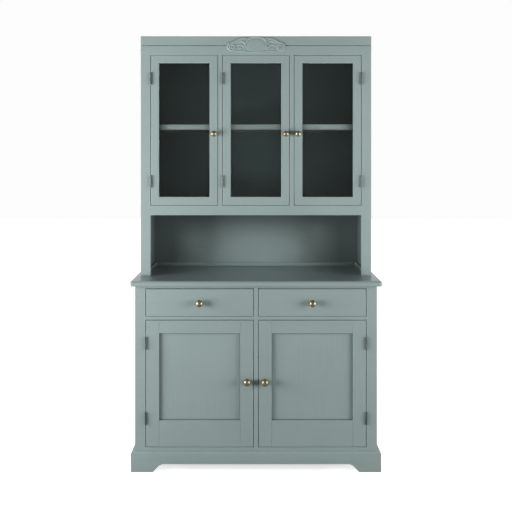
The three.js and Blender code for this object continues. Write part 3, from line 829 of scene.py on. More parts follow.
# %% Deeper tones on the boards
# Sizes of the painted shade round the panels; under the top rail it reaches further down.
PANEL_SHADE, SHADE_WIDTH, TOP_SHADE_DROP = 9.5 * MM, 3 * MM, 2.5 * MM
SIDE_LINING, SIDE_BACK = cad_high.x - 30 * MM, cad_high.y - 2 * MM
STILE_SHADE, STILE_TONE, PANE_IN_REBATE = 32 * MM, 1.3, 8 * MM
STRIP_SHADE = (0.3, 0.12)
GLAZED_DOORS = [f"hutch_door_{word}" for word in ("left", "middle", "right")]
shelf_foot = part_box("hutch_shelf")[0].z
pane_ends = []
for low, high in [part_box(f"{door}_glass") for door in GLAZED_DOORS]:
    pane_ends.append((low.x + PANE_IN_REBATE, high.x - PANE_IN_REBATE))


def deepen(distance, start, width):
    """A tone that starts at a distance and deepens by one over each width."""
    return (distance - start) / width


def panel_painted_shade(point, low, high):
    """Painted shade in a line round a panel's face."""
    from_top = high.z - TOP_SHADE_DROP - point.z
    inside = min(point.x - low.x, high.x - point.x, point.z - low.z, from_top)
    fall = min(1.0, 1 - (inside - PANEL_SHADE) / SHADE_WIDTH)
    return fall * DEEPEST_SHADE if point.y < low.y + 1 * MM else 0.0


def side_painted_shade(point):
    """The deepest painted shade all over the inner face of a hutch side."""
    return DEEPEST_SHADE * (abs(point.x) < SIDE_LINING and point.y < SIDE_BACK)


def shelf_painted_shadow(point):
    """The deepest painted shade from below, and a painted shadow behind the stiles."""
    inside = max(min(point.x - left, right - point.x) for left, right in pane_ends)
    behind_stile = STILE_TONE * (1 - inside / STILE_SHADE)
    return DEEPEST_SHADE if near(point.z, shelf_foot) else behind_stile


def strip_painted_shade(point):
    """Painted shade that deepens towards the ends of the foot strip."""
    return deepen(abs(point.x + NICHE_SHIFT), *STRIP_SHADE)


# Boards with painted shade of their own.
own_painted_shades = {
    "hutch_side_left": side_painted_shade,
    "hutch_side_right": side_painted_shade,
    "hutch_shelf": shelf_painted_shadow,
    "hutch_foot_strip": strip_painted_shade,
}
print("Tones of their own:", list(own_painted_shades))

# %% Plain painted boards
BOARD_EASE, FRAME_EASE, DOOR_EASE, PANEL_EASE = 1.3 * MM, 1.0 * MM, 1.8 * MM, 0.5 * MM
SHELF_EASE, STRIP_EASE = 3.0 * MM, 3.5 * MM
JOINT_GAP = 0.4 * MM
STRIP_CUTS = (-0.46, -0.38, -0.3, 0.26, 0.34, 0.42)
eases = {
    "base_side_left": BOARD_EASE,
    "base_side_right": BOARD_EASE,
    "base_floor": BOARD_EASE,
    "base_partition": BOARD_EASE,
    "base_shelf_left": BOARD_EASE,
    "base_shelf_right": BOARD_EASE,
    "base_face_frame": FRAME_EASE,
    "hutch_side_left": BOARD_EASE,
    "hutch_side_right": BOARD_EASE,
    "hutch_floor": BOARD_EASE,
    "hutch_shelf": SHELF_EASE,
    "hutch_top": BOARD_EASE,
    "hutch_face_frame": FRAME_EASE,
    "hutch_foot_strip": STRIP_EASE,
    "cornice_board": FRAME_EASE,
}
for side in ("left", "right"):
    for part in ("hinge_stile", "knob_stile", "top_rail", "bottom_rail", "panel"):
        eases[f"base_door_{side}_{part}"] = PANEL_EASE if part == "panel" else DOOR_EASE
    eases[f"drawer_{side}_front"] = DOOR_EASE
# The shelf and the foot strip take a paler copy of the paint: painted light.
own_paints = {"hutch_shelf": painted_light_shelf_paint, "hutch_foot_strip": painted_light_niche_paint}
# Cuts that give the painted shadow behind the stiles its places.
shelf_cuts = []
for left, right in pane_ends:
    shelf_cuts += [left, left + STILE_SHADE, right - STILE_SHADE, right]
own_cuts = {"hutch_shelf": shelf_cuts, "hutch_foot_strip": STRIP_CUTS}


def shorten_rail(low, high):
    """Leaves a gap at both ends of a rail."""
    shrunk = 1 - 2 * JOINT_GAP / (high.x - low.x)
    bpy.ops.transform.resize(value=(shrunk, 1, 1), center_override=(low + high) / 2)
    apply_place()


def outline_panel(high):
    """Two insets on a panel's face. The top of the inner one is then moved down."""
    open_mesh()
    pick("FACE", lambda face: face.normal.y < -0.9)
    bpy.ops.mesh.inset(thickness=PANEL_SHADE, depth=0)
    bpy.ops.mesh.inset(thickness=SHADE_WIDTH, depth=0)
    # Lowering the inner inset's top widens the painted shade under the top rail.
    pick("EDGE", lambda edge: level(edge, high.z - PANEL_SHADE - SHADE_WIDTH))
    bpy.ops.transform.translate(value=(0, 0, -TOP_SHADE_DROP))
    close_mesh()


for node, ease in eases.items():
    board = copy_solid(node, f"{node}_board")
    low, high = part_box(node)
    if node in own_cuts:
        score(board, "x", own_cuts[node])
    if node.startswith("base_door") and node.endswith("_rail"):
        shorten_rail(low, high)
    if node.endswith("_panel"):
        outline_panel(high)
    ease_edges(board, ease)
    if node.endswith("_panel"):
        mark_painted_shade(board, lambda point: panel_painted_shade(point, low, high))
    if node in own_painted_shades:
        mark_painted_shade(board, own_painted_shades[node])
    finish = own_paints.get(node, paints[longest_way(board)])
    settle(board, body_of(node), finish)
    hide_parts(node)
print(len(eases), "boards have eased edges")

# %% [markdown]
# ## The counter
# The counter's front and sides end in a nose: a wide round above and a small one below. The
# solid has it in a few flat steps. Here a block gets it with two bevels of many segments, after
# its two front corners are rounded: a hair wider than the nose is deep, or the nose would cross
# itself there. The counter is the one board that is wiped every day, so it has some varnish,
# which the shader's coat gives. Its top has painted shade, and a deeper painted shadow in the
# two corners of the niche.

# %% Counter
NOSE_TOP, NOSE_FOOT, CORNER = 12 * MM, 4 * MM, 12.5 * MM
COUNTER_CUTS = {"x": (-0.48, -0.38, -0.28, 0.28, 0.38, 0.48), "y": (-0.1, 0.0, 0.1)}
# Painted shade on the counter's top, and a painted shadow in the niche's back corners.
TOP_SHADE, CORNER_TONE, CORNER_SHADE = 0.35, 1.3, (0.28, 0.2)
TOP_REACH = 0.1 * MM
low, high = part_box("counter_top")
hutch_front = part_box("hutch_face_frame")[0].y
counter = add_block("counter_board", low, high)


def on_front_corner(edge):
    place = middle(edge)
    return near(place.z, (low.z + high.z) / 2) and near(place.y, low.y)


def round_nose(z, radius, segments):
    """Rounds the edges round the front and both sides at one height."""
    pick("EDGE", lambda edge: level(edge, z) and middle(edge).y < high.y - CORNER)
    bpy.ops.mesh.bevel(offset=radius, segments=segments, affect="EDGES", clamp_overlap=False)


def counter_painted_shade(point):
    """Painted shade on top, and a painted shadow towards the back corners."""
    if point.z < high.z - TOP_REACH:
        return 0.0
    backwards = max(0.0, (point.y - hutch_front) / (high.y - hutch_front))
    return TOP_SHADE + CORNER_TONE * backwards * held(deepen(abs(point.x), *CORNER_SHADE))


open_mesh()
pick("EDGE", on_front_corner)
bpy.ops.mesh.bevel(offset=CORNER, segments=8, affect="EDGES")
round_nose(high.z, NOSE_TOP, 10)
round_nose(low.z, NOSE_FOOT, 5)
close_mesh()
for axis, places in COUNTER_CUTS.items():
    score(counter, axis, places)
smooth_board(counter)
mark_painted_shade(counter, counter_painted_shade)
settle(counter, "carcass", varnished_paint)
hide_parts("counter_top")
print("The counter has", len(counter.data.polygons), "faces")

# %% [markdown]
# ## The plinth
# The skirt round the foot is three boards with a shaped arch in each, mitred at the corners. The
# solid is one piece, so three copies of it are sawn at 45 degrees, and each keeps its own board.

# %% Plinth boards
PLINTH_EASE, ARCH_FLATS = 0.8 * MM, 40
low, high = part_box("plinth")
left_corner, right_corner = Vector((low.x, low.y, 0)), Vector((high.x, low.y, 0))
mitres = {
    "plinth_front_board": [(left_corner, (-1, 1, 0)), (right_corner, (1, 1, 0))],
    "plinth_left_board": [(left_corner, (1, -1, 0)), ((0, 0, 0), (1, 0, 0))],
    "plinth_right_board": [(right_corner, (-1, -1, 0)), ((0, 0, 0), (-1, 0, 0))],
}
skirts = {name: copy_solid("plinth", name) for name in mitres}
for name, board in skirts.items():
    saw(board, *mitres[name])
    ease_edges(board, PLINTH_EASE, sharpest=ARCH_FLATS)
    settle(board, "carcass", paints[longest_way(board)])
    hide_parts("plinth")
    print(name, "is", round(max(board.dimensions), 3), "m long")

# %% [markdown]
# ## The backs
# A back panel is screwed into the rebates of the sides. It is made a hair thinner than its
# solid, so that the screws' domed heads end flush with the sides and the dresser still stands
# against a wall. One screw is modelled and copied round the panel. The hutch's back is in two
# boards that meet behind the cabinet's floor. In the portrait the inside of the cabinet is much
# darker than the niche, and the niche darkens to its ends and its ceiling. That shade is painted:
# each board's inner face has a paint of its own in a second material slot, a dark copy for the
# cabinet and a paler one for the niche, and each board is cut into small squares, whose corners
# carry how much painted shade there is.

# %% Screw head
DOME_RADIUS, DOME_HEIGHT = 3.4 * MM, 0.9 * MM
DOME_RINGS = ((0.35, 0.93), (0.35, 0.8), (0.3, 0.55))


def make_screw(name, radius, height):
    """A domed screw head at the origin that faces backwards, with a dip in the middle."""
    screw = add_disc(name, radius, sides=16, facing=1)
    for rise, ratio in DOME_RINGS:
        add_ring(rise * height, ratio)
    bpy.ops.mesh.inset(thickness=0.25 * radius, depth=-0.4 * height)
    close_mesh(outwards=True)
    smooth(35)
    return screw


back_screw = make_screw("back_screw", DOME_RADIUS, DOME_HEIGHT)
print("A screw head has", len(back_screw.data.polygons), "faces")

# %% Back panels
BACK_CUTS, SCREW_INSET, BACK_EASE = 9, 5 * MM, 0.6 * MM
NICHE_SHADE, CEILING_SHADE, CABINET_SHADE = (0.22, 0.13), (0.95, 0.135), (0.28, 0.25)
cabinet_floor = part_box("hutch_floor")[1].z


def screw_places(low, high, columns, rows):
    """Places round the edge of a panel, evenly spaced."""
    left, foot = low.x + SCREW_INSET, low.z + SCREW_INSET
    width, height = high.x - low.x - 2 * SCREW_INSET, high.z - low.z - 2 * SCREW_INSET
    xs = [left + width * i / columns for i in range(columns + 1)]
    zs = [foot + height * i / rows for i in range(rows + 1)]
    return [(x, z) for x in xs for z in zs if x in (xs[0], xs[-1]) or z in (zs[0], zs[-1])]


def niche_painted_shade(point):
    """Painted shade towards the ends and the ceiling of the niche."""
    from_middle = abs(point.x + NICHE_SHIFT)
    return max(deepen(from_middle, *NICHE_SHADE), deepen(point.z, *CEILING_SHADE))


def cabinet_painted_shade(point):
    """Painted shade towards the ends of the cabinet."""
    return deepen(abs(point.x), *CABINET_SHADE)


backs = [("base_back_panel", 5, 4), ("hutch_back_panel", 5, 6)]
# Painted shade on the inner faces: a paler copy of the paint for the niche, a dark one for the
# cabinet.
inner_faces = {
    "hutch_back_panel_lower": (niche_painted_shade, painted_light_niche_paint),
    "hutch_back_panel_upper": (cabinet_painted_shade, painted_shade_paint),
}
for node, columns, rows in backs:
    low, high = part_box(node)
    back_face = high.y - DOME_HEIGHT
    boards = {f"{node}_upper": (low.z, high.z)}
    if node == "hutch_back_panel":
        boards = {f"{node}_lower": (low.z, cabinet_floor), f"{node}_upper": (cabinet_floor, high.z)}
    for name, (foot, top) in boards.items():
        back = add_block(f"{name}_board", (low.x, low.y, foot), (high.x, back_face, top))
        open_mesh()
        bpy.ops.mesh.subdivide(number_cuts=BACK_CUTS)
        close_mesh()
        ease_edges(back, BACK_EASE)
        settle(back, "carcass", paints[longest_way(back)])
        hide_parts(node)
        if name in inner_faces:
            shade_at, front_paint = inner_faces[name]
            mark_painted_shade(back, lambda point: shade_at(point) if near(point.y, low.y) else 0.0)
            back.data.materials.append(front_paint)
            for face in back.data.polygons:
                face.material_index = int(face.normal.y < -0.5)
    places = screw_places(low, high, columns, rows)
    heads = [copy_of(back_screw, f"{node}_screw", (x, back_face, z)) for x, z in places]
    screws = join(f"{node}_screws", *heads)
    settle(screws, "carcass", bright_steel)
    print(node, "has", len(places), "screws")
discard(back_screw)

# %% [markdown]
# ## The glazed doors
# Each glazed door is a frame of two stiles and two rails, rebated at the back for its pane. The
# solid frame is one piece, so it is rounded first and sawn into its four members afterwards:
# the joints stay tight, as under paint, and only a hairline shows. The pane's solid has the
# right shape and stays, with the glass finish.

# %% Door frames and panes
DOOR_STILE_WIDTH = 39 * MM
HAIRLINE = 0.25 * MM
for door in GLAZED_DOORS:
    node = f"{door}_frame"
    low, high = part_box(node)
    centre = (low + high) / 2
    left_joint, right_joint = (low.x + DOOR_STILE_WIDTH, 0, 0), (high.x - DOOR_STILE_WIDTH, 0, 0)
    rail_ends = [(left_joint, (-1, 0, 0)), (right_joint, (1, 0, 0))]
    members = {
        "left_stile": [(left_joint, (1, 0, 0))],
        "right_stile": [(right_joint, (-1, 0, 0))],
        "top_rail": [*rail_ends, (centre, (0, 0, -1))],
        "foot_rail": [*rail_ends, (centre, (0, 0, 1))],
    }
    whole = round_edges(copy_solid(node, f"{door}_whole"), DOOR_EASE)
    for member, cuts in members.items():
        board = saw(copy_of(whole, f"{door}_{member}"), *cuts)
        round_edges(board, HAIRLINE, segments=1, sharpest=69)
        smooth_board(board)
        mark_edges(board, DOOR_EASE)
        settle(board, body_of(node), paints[longest_way(board)])
        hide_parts(node)
    discard(whole)
    pane = frame["nodes"][f"{door}_glass"]
    pane.material_slots[0].material = pane_glass
print("Three doors, four members each")

# %% [markdown]
# ### Glazing beads
# A thin bead, pinned inside the rebate, holds the pane from behind. A flat ring is made from a
# plane by an inset, and extruded to the bead's thickness. It is only seen when a door is open.

# %% Glazing beads
BEAD_WIDTH, BEAD_DEPTH, BEAD_PLAY = 8 * MM, 6 * MM, 0.15 * MM
BEHIND_PANE, BEAD_EASE = 0.1 * MM, 1.2 * MM
for door in GLAZED_DOORS:
    low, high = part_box(f"{door}_glass")
    centre = seen_middle(low, high, high.y + BEHIND_PANE)
    sheet = {"size": 1, "location": centre, "rotation": (QUARTER_TURN, 0, 0)}
    bead = add_form(f"{door}_glazing_bead", bpy.ops.mesh.primitive_plane_add, **sheet)
    open_mesh()
    size = (high.x - low.x - 2 * BEAD_PLAY, 1, high.z - low.z - 2 * BEAD_PLAY)
    bpy.ops.transform.resize(value=size, center_override=centre)
    bpy.ops.mesh.inset(thickness=BEAD_WIDTH, depth=0)
    bpy.ops.mesh.delete(type="FACE")
    bpy.ops.mesh.select_all(action="SELECT")
    bpy.ops.mesh.extrude_region_move(TRANSFORM_OT_translate={"value": (0, BEAD_DEPTH, 0)})
    close_mesh(outwards=True)
    ease_edges(bead, BEAD_EASE)
    settle(bead, door, paints["upright"])
print("The beads are", round(BEAD_WIDTH / MM), "mm wide")

# %% [markdown]
# ## The knobs
# A brass knob is turned on a lathe: a stepped rose against the wood, a slim neck and a ball that
# is a little flatter than round. Spinning a profile would do it. Here a disc is extruded ring by
# ring and each new ring is resized, which is the same idea and shows every step. Each size is
# turned once and copied.

# %% Turning a knob
KNOB_SIDES = 40
BALL_RINGS, LAST_RING = 11, math.radians(84)
ROSE = ((0.64, 0.0), (0.64, 0.035), (0.60, 0.055), (0.50, 0.06))
NECK = ((0.49, 0.085), (0.42, 0.12))
NECK_RADIUS, BALL_FLATNESS = 0.36, 0.84
UNTOUCHED, POLISHED = 0.36, 0.86


def knob_profile(radius, projection):
    """Pairs of a ring's radius and its distance from the wood."""
    rings = [(share * radius, rise * projection) for share, rise in ROSE + NECK]
    reach = BALL_FLATNESS * radius
    ball_middle = projection - reach
    start = -math.acos(NECK_RADIUS)
    neck_end = ball_middle + math.sin(start) * reach
    rings.append((NECK_RADIUS * radius, (neck_end + rings[-1][1]) / 2))
    for step in range(BALL_RINGS + 1):
        angle = start + (LAST_RING - start) * step / BALL_RINGS
        rings.append((math.cos(angle) * radius, ball_middle + math.sin(angle) * reach))
    return rings


def turn_knob(name, radius, projection):
    """A knob at the origin that points forward, towards -Y."""
    rings = knob_profile(radius, projection)
    knob = add_disc(name, rings[0][0], KNOB_SIDES, facing=-1)
    for (old_radius, old_rise), (new_radius, new_rise) in zip(rings, rings[1:]):
        add_ring(old_rise - new_rise, new_radius / old_radius)
    bpy.ops.mesh.poke(offset=projection - rings[-1][1])
    close_mesh(outwards=True)
    smooth(35)
    # Tarnish in the neck, and painted shade that dulls the ball towards its rim.
    reach = POLISHED - UNTOUCHED
    depth = [(POLISHED + point.co.y / projection) / reach for point in knob.data.vertices]
    write_mask(knob, "tarnish_and_shade", [held(share) for share in depth])
    return knob


# %% Placing the knobs
knob_nodes = sorted(node for node in frame["nodes"] if node.endswith("_knob"))
masters = {}
for node in knob_nodes:
    low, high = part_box(node)
    size = "small" if "hutch" in node else "large"
    if size not in masters:
        masters[size] = turn_knob(f"{size}_knob", (high.x - low.x) / 2, high.y - low.y)
    knob = copy_of(masters[size], f"{node}_turned", seen_middle(low, high, high.y))
    settle(knob, body_of(node), aged_brass)
    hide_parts(node)
discard(*masters.values())
print(len(knob_nodes), "knobs in", len(masters), "sizes")

# %% [markdown]
# ### Knob screws
# A knob is held by a machine screw through the door. Its head and washer sit on the inner face,
# where they show when a door is open.

# %% Knob screws
DOOR_THICKNESS, WASHER_RADIUS, WASHER_DEPTH = 20 * MM, 7 * MM, 0.6 * MM
KNOB_SCREW_RADIUS, KNOB_SCREW_HEIGHT = 4.5 * MM, 1.6 * MM
washer = add_round_bar("washer", (0, WASHER_DEPTH / 2, 0), WASHER_RADIUS, WASHER_DEPTH, "Y")
knob_screw = make_screw("knob_screw", KNOB_SCREW_RADIUS, KNOB_SCREW_HEIGHT)
knob_screw = join("knob_screw", knob_screw, washer)
for node in knob_nodes:
    if node.startswith("drawer"):
        continue
    low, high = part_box(node)
    screw = copy_of(knob_screw, f"{node}_screw", seen_middle(low, high, high.y + DOOR_THICKNESS))
    settle(screw, body_of(node), bright_steel)
discard(knob_screw)
print("The doors' knobs are screwed on")

# %% [markdown]
# ## The hinges
# A butt hinge has five knuckles on one pin. Three belong to the leaf on the frame, two to the
# leaf on the door, and the leaves fold into the gap between them. The solid only holds the
# frame's half. Both halves are modelled at the origin, once for each hand, and copied.

# %% Making a hinge
KNUCKLE, KNUCKLE_GAP, KNUCKLE_RADIUS = 12 * MM, 0.3 * MM, 4 * MM
PIN_RADIUS, PIN_ENDS = 1.9 * MM, 3 * MM
LEAF_INNER, LEAF_OUTER, LEAF_REACH = 0.15 * MM, 1.45 * MM, 22 * MM
KNUCKLE_EASE, PIN_EASE = 0.4 * MM, 1.2 * MM
HEAD_RADIUS, HEAD_DEPTH, HEAD_SUNK = 2.4 * MM, 0.1 * MM, 0.03 * MM
SCREW_REACH, SCREW_HEIGHTS = 0.6 * LEAF_REACH, (-20 * MM, 0, 20 * MM)


def make_leaf(name, side, places):
    """A leaf on one side of the gap with its knuckles, at the origin."""
    left, right = sorted((side * LEAF_INNER, side * LEAF_OUTER))
    top = 2.5 * KNUCKLE
    parts = [add_block(name, (left, 0, -top), (right, LEAF_REACH, top))]
    for place in places:
        centre, length = (0, 0, place * KNUCKLE), KNUCKLE - KNUCKLE_GAP
        barrel = add_round_bar(name, centre, KNUCKLE_RADIUS, length, "Z")
        parts.append(round_edges(barrel, KNUCKLE_EASE, segments=2))
    for z in SCREW_HEIGHTS:
        centre = (side * (LEAF_INNER - HEAD_SUNK), SCREW_REACH, z)
        parts.append(add_round_bar(name, centre, HEAD_RADIUS, HEAD_DEPTH, "X", sides=12))
    return join(name, *parts)


def make_pin(name):
    """The pin with a rounded end above and below."""
    pin = add_round_bar(name, (0, 0, 0), PIN_RADIUS, 5 * KNUCKLE + PIN_ENDS, "Z", sides=16)
    return round_edges(pin, PIN_EASE)


hinge_halves = {}
for side in (-1, 1):
    fixed = join("frame_leaf", make_leaf("frame_leaf", side, (-2, 0, 2)), make_pin("pin"))
    moving = make_leaf("door_leaf", -side, (-1, 1))
    for half in (fixed, moving):
        take_up(half)
        smooth(35)
    hinge_halves[side] = (fixed, moving)
print("Two halves for each hand of hinge")

# %% Hanging the doors
hinge_nodes = sorted(node for node in frame["nodes"] if "_hinge_" in node and "stile" not in node)
for node in hinge_nodes:
    low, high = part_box(node)
    door = node.split("_hinge_")[0]
    fixed, moving = hinge_halves[1 if door.endswith("right") else -1]
    pin_place = seen_middle(low, high, low.y + KNUCKLE_RADIUS)
    frame_leaf = copy_of(fixed, f"{node}_frame_leaf", pin_place)
    settle(frame_leaf, "carcass", dark_steel)
    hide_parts(node)
    settle(copy_of(moving, f"{node}_door_leaf", pin_place), door, dark_steel)
discard(*hinge_halves[-1], *hinge_halves[1])
print(len(hinge_nodes), "hinges, of which the door's half turns with its door")

# %% [markdown]
# ## The drawers
# Behind each painted front is a box of bare pine: two long sides, a front and a back between
# them, and a thin bottom let into all four. The solid is one body. Here it is built from its
# boards, and dovetails show at the corners, where the end grain of the front and the back comes
# through the sides.

# %% Drawer boxes
WALL, BOTTOM_LIFT, BOTTOM_THICKNESS = 12 * MM, 8 * MM, 6 * MM
TAILS, PIN_SHARE, PIN_TAPER = 4, 0.42, 0.6
PIN_PROUD, PIN_LENGTH = 0.12 * MM, 1 * MM
PINE_EASE = 0.7 * MM


def dovetail_pin(x, y, z, wide):
    """A pin's end grain: a small block that is narrower where the board ends, at y[0]."""
    low = (min(x), min(y), z - wide / 2)
    pin = add_block("dovetail_pin", low, (max(x), max(y), z + wide / 2))
    open_mesh()
    pick("FACE", lambda face: near(middle(face).y, y[0]))
    bpy.ops.transform.resize(value=(1, 1, PIN_TAPER), center_override=(x[0], y[0], z))
    close_mesh()
    return pin


for side in ("left", "right"):
    node, body = f"drawer_{side}_box", f"drawer_{side}"
    low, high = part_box(node)
    inner_low, inner_high = low + Vector((WALL, WALL, 0)), high - Vector((WALL, WALL, 0))
    bottom = low.z + BOTTOM_LIFT
    boards = {
        "left_side": (low, (inner_low.x, high.y, high.z)),
        "right_side": ((inner_high.x, low.y, low.z), high),
        "inner_front": ((inner_low.x, low.y, low.z), (inner_high.x, inner_low.y, high.z)),
        "back_board": ((inner_low.x, inner_high.y, low.z), (inner_high.x, high.y, high.z)),
        "bottom_board": (
            (inner_low.x, inner_low.y, bottom),
            (inner_high.x, inner_high.y, bottom + BOTTOM_THICKNESS),
        ),
    }
    for word, corners in boards.items():
        board = ease_edges(add_block(f"drawer_{side}_{word}", *corners), PINE_EASE)
        settle(board, body, pines[longest_way(board)])
        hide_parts(node)
    pins = []
    step = (high.z - low.z) / TAILS
    for outer, way in ((low.x, -1), (high.x, 1)):
        x = (outer + way * PIN_PROUD, outer - way * PIN_LENGTH)
        for y in ((low.y, inner_low.y), (high.y, inner_high.y)):
            for i in range(TAILS):
                pins.append(dovetail_pin(x, y, low.z + (i + 0.5) * step, PIN_SHARE * step))
    dovetails = join(f"drawer_{side}_dovetails", *pins)
    settle(dovetails, body, end_grain)
    print(node, "has", len(pins), "dovetail pins")

# %% [markdown]
# ### Runner frames
# Each drawer slides on an open frame with a guide strip down each side, also of bare pine. These
# are as their solids are, with eased edges.

# %% Runner frames
RUNNER_EASE = 0.8 * MM
for side in ("left", "right"):
    node = f"drawer_runner_frame_{side}"
    runner = ease_edges(copy_solid(node, f"{node}_board"), RUNNER_EASE)
    settle(runner, "carcass", pines["across"])
    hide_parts(node)
print("Two runner frames")

# %% [markdown]
# ## The crest
# The only ornament is a low carving in the middle of the cornice: a ribbed shell under a hood,
# with leaves that run out to a volute on each side. Sculpting it face by face would take days.
# Each strand of the carving is a curve with a thickness that swells and fades. All strands and
# a thin backing plate are then fused by a voxel remesh, softened and thinned out, as a carver
# cuts everything from one piece of wood.

# %% Strands of the carving
PLATE_DEPTH = 3.0 * MM
STRAND_STEPS, CUT_STEPS = 6, 24
crest_low, crest_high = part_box("crest_ornament")
crest_middle = (crest_low.x + crest_high.x) / 2
plate_front = crest_high.y - PLATE_DEPTH


def draw_curve(name, points, closed, **settings):
    """A smooth curve through points of x, y, z in millimetres and a width, made a mesh."""
    curve = bpy.data.curves.new(name, "CURVE")
    for key, value in settings.items():
        setattr(curve, key, value)
    line = curve.splines.new("NURBS")
    line.points.add(len(points) - 1)
    for point, (*place, half_width) in zip(line.points, points):
        point.co = [part * MM for part in place] + [1]
        point.radius = half_width
    line.order_u = 3
    line.use_endpoint_u = not closed
    line.use_cyclic_u = closed
    strand = bpy.data.objects.new(name, curve)
    scene.collection.objects.link(strand)
    take_up(strand)
    bpy.ops.object.convert(target="MESH")
    return bpy.context.object


def draw_line(path, thickness, steps):
    """A line along points of x, z and half width."""
    points = [(x, 0, z, half_width) for x, z, half_width in path]
    settings = {"bevel_depth": thickness, "bevel_resolution": 3, "resolution_u": steps}
    return draw_curve("strand", points, False, dimensions="3D", use_fill_caps=True, **settings)


def carve_strand(path, flatness, lift):
    """A strand of the relief, flattened against the plate."""
    draw_line(path, MM, STRAND_STEPS)
    bpy.ops.transform.resize(value=(1, flatness, 1), center_override=(0, 0, 0))
    front = plate_front - lift * MM
    bpy.ops.transform.translate(value=(crest_middle, front, crest_low.z))
    return name_piece("strand")


def mirrored(path):
    return [(-x, *rest) for x, *rest in path]


print("The crest is", round((crest_high.x - crest_low.x) / MM), "mm wide")

# %% Hood, leaves and volutes
VOLUTE_X, VOLUTE_Z = 121, 30
VOLUTE_START, VOLUTE_TURNS, VOLUTE_STEPS = 118, 1.75, 22
VOLUTE_REACH, VOLUTE_WIDTH = (24.5, 5.5), (3.3, 2.2)


def wind_volute():
    """A volute that winds inwards clockwise, as points of a strand."""
    (reach, last_reach), (width, last_width) = VOLUTE_REACH, VOLUTE_WIDTH
    points = []
    for i in range(VOLUTE_STEPS + 1):
        share = i / VOLUTE_STEPS
        angle = math.radians(VOLUTE_START) - 2 * math.pi * VOLUTE_TURNS * share
        radius = reach + (last_reach - reach) * share**0.8
        x, z = VOLUTE_X + math.cos(angle) * radius, VOLUTE_Z + math.sin(angle) * radius
        points.append((x, z, width + (last_width - width) * share))
    return points


hood = [(-50, 55, 2.0), (-46, 66, 3.0), (-34, 76, 3.6), (-14, 79, 3.4), (0, 78, 3.4)]
hood += mirrored(reversed(hood[:-1]))
long_leaf = [(45, 74, 1.6), (58, 71, 3.4), (74, 71.5, 4.2), (90, 66, 3.6)]
long_leaf += [(104, 58, 3.2), (113, 54, 3.0)]
foot_leaf = [(0, 5, 2.2), (22, 4.5, 3.0), (44, 6, 3.6), (66, 9.5, 3.4)]
foot_leaf += [(88, 11.5, 3.0), (106, 9, 3.0)]
volute_eye = [(VOLUTE_X - 2, VOLUTE_Z, 4.6), (VOLUTE_X + 2, VOLUTE_Z, 4.6)]
half_strands = [
    (long_leaf, 0.9, 0.6),
    ([(50, 26, 3.0), (52, 42, 3.6), (60, 56, 3.8), (73, 61, 2.8), (84, 60, 1.4)], 0.9, 0.5),
    ([(54, 18, 3.0), (60, 32, 3.8), (70, 40, 3.6), (84, 41, 2.4), (94, 38, 1.2)], 0.9, 0.3),
    ([(54, 10, 2.6), (66, 19, 3.6), (78, 23, 3.2), (92, 21, 1.4)], 0.9, 0.0),
    (foot_leaf, 0.8, 0.4),
    (wind_volute(), 1.0, 0.9),
    (volute_eye, 0.8, 1.2),
]
print("The crest has", 2 * len(half_strands) + 1, "strands beside its shell")

# %% The shell's ribs
RIBS, RIB_ANGLE, SHELL_FOOT = 9, 17, 12
SHELL_OVALS = ((8, 6, 1.6), (22.55, 29.7, 3.4), (41, 54, 4.6))
shell_ribs = []
for i in range(RIBS):
    angle = math.radians(90 + (i - (RIBS - 1) / 2) * RIB_ANGLE)
    x, z = math.cos(angle), math.sin(angle)
    rib = [(x * wide, SHELL_FOOT + z * tall, half_width) for wide, tall, half_width in SHELL_OVALS]
    shell_ribs.append(rib)
print("The shell has", RIBS, "ribs")

# %% Backing plate
right_edge = [(27, 80), (42, 76), (60, 74), (90, 69), (106, 60), (124, 56), (143, 47), (147.5, 31)]
right_edge += [(141, 14), (122, 6), (101, 8), (82, 7), (45, 2.5), (0, 1.5)]
outline = [(0, 81)] + right_edge + mirrored(reversed(right_edge[:-1]))
points = [(x, z, 0, 1) for x, z in outline]
settings = {"dimensions": "2D", "fill_mode": "BOTH", "extrude": PLATE_DEPTH / 2}
plate = draw_curve("plate", points, True, **settings)
plate.rotation_euler = (QUARTER_TURN, 0, 0)
plate.location = (crest_middle, crest_high.y - PLATE_DEPTH / 2, crest_low.z)
name_piece("plate")
print("The plate's outline has", len(outline), "points")

# %% Fusing the carving
FIELD_SIZE = (50 * MM, 2.6 * MM, 36 * MM)
VOXEL = 0.8 * MM
strands = [carve_strand(hood, 0.9, 1.2)]
for path, flatness, lift in half_strands:
    strands += [carve_strand(path, flatness, lift), carve_strand(mirrored(path), flatness, lift)]
strands += [carve_strand(path, 0.55, 0.0) for path in shell_ribs]
centre = (crest_middle, plate_front, crest_low.z + FIELD_SIZE[2])
bpy.ops.object.select_all(action="DESELECT")
bpy.ops.mesh.primitive_uv_sphere_add(segments=40, ring_count=20, radius=1, location=centre)
bpy.ops.transform.resize(value=FIELD_SIZE, center_override=centre)
strands.append(name_piece("field"))
crest = join("crest_carving", plate, *strands)
add_modifier(crest, "REMESH", mode="VOXEL", voxel_size=VOXEL)
add_modifier(crest, "SMOOTH", factor=0.5, iterations=2)
saw(crest, ((0, crest_high.y, 0), (0, 1, 0)))
print("Fused, the crest has", len(crest.data.vertices), "points")

# %% [markdown]
# ### The gouge
# The lines that part the hood, the leaves and the volutes are cut last, with a V-shaped gouge.
# Each point of the surface that lies near a line is pushed back, most on the line itself. The
# cuts and the low ground beside the strands also get a little painted shade, which an attribute
# holds and the paint reads. Coats of paint have also softened the carving, so at the end its
# relief is made lower all over.

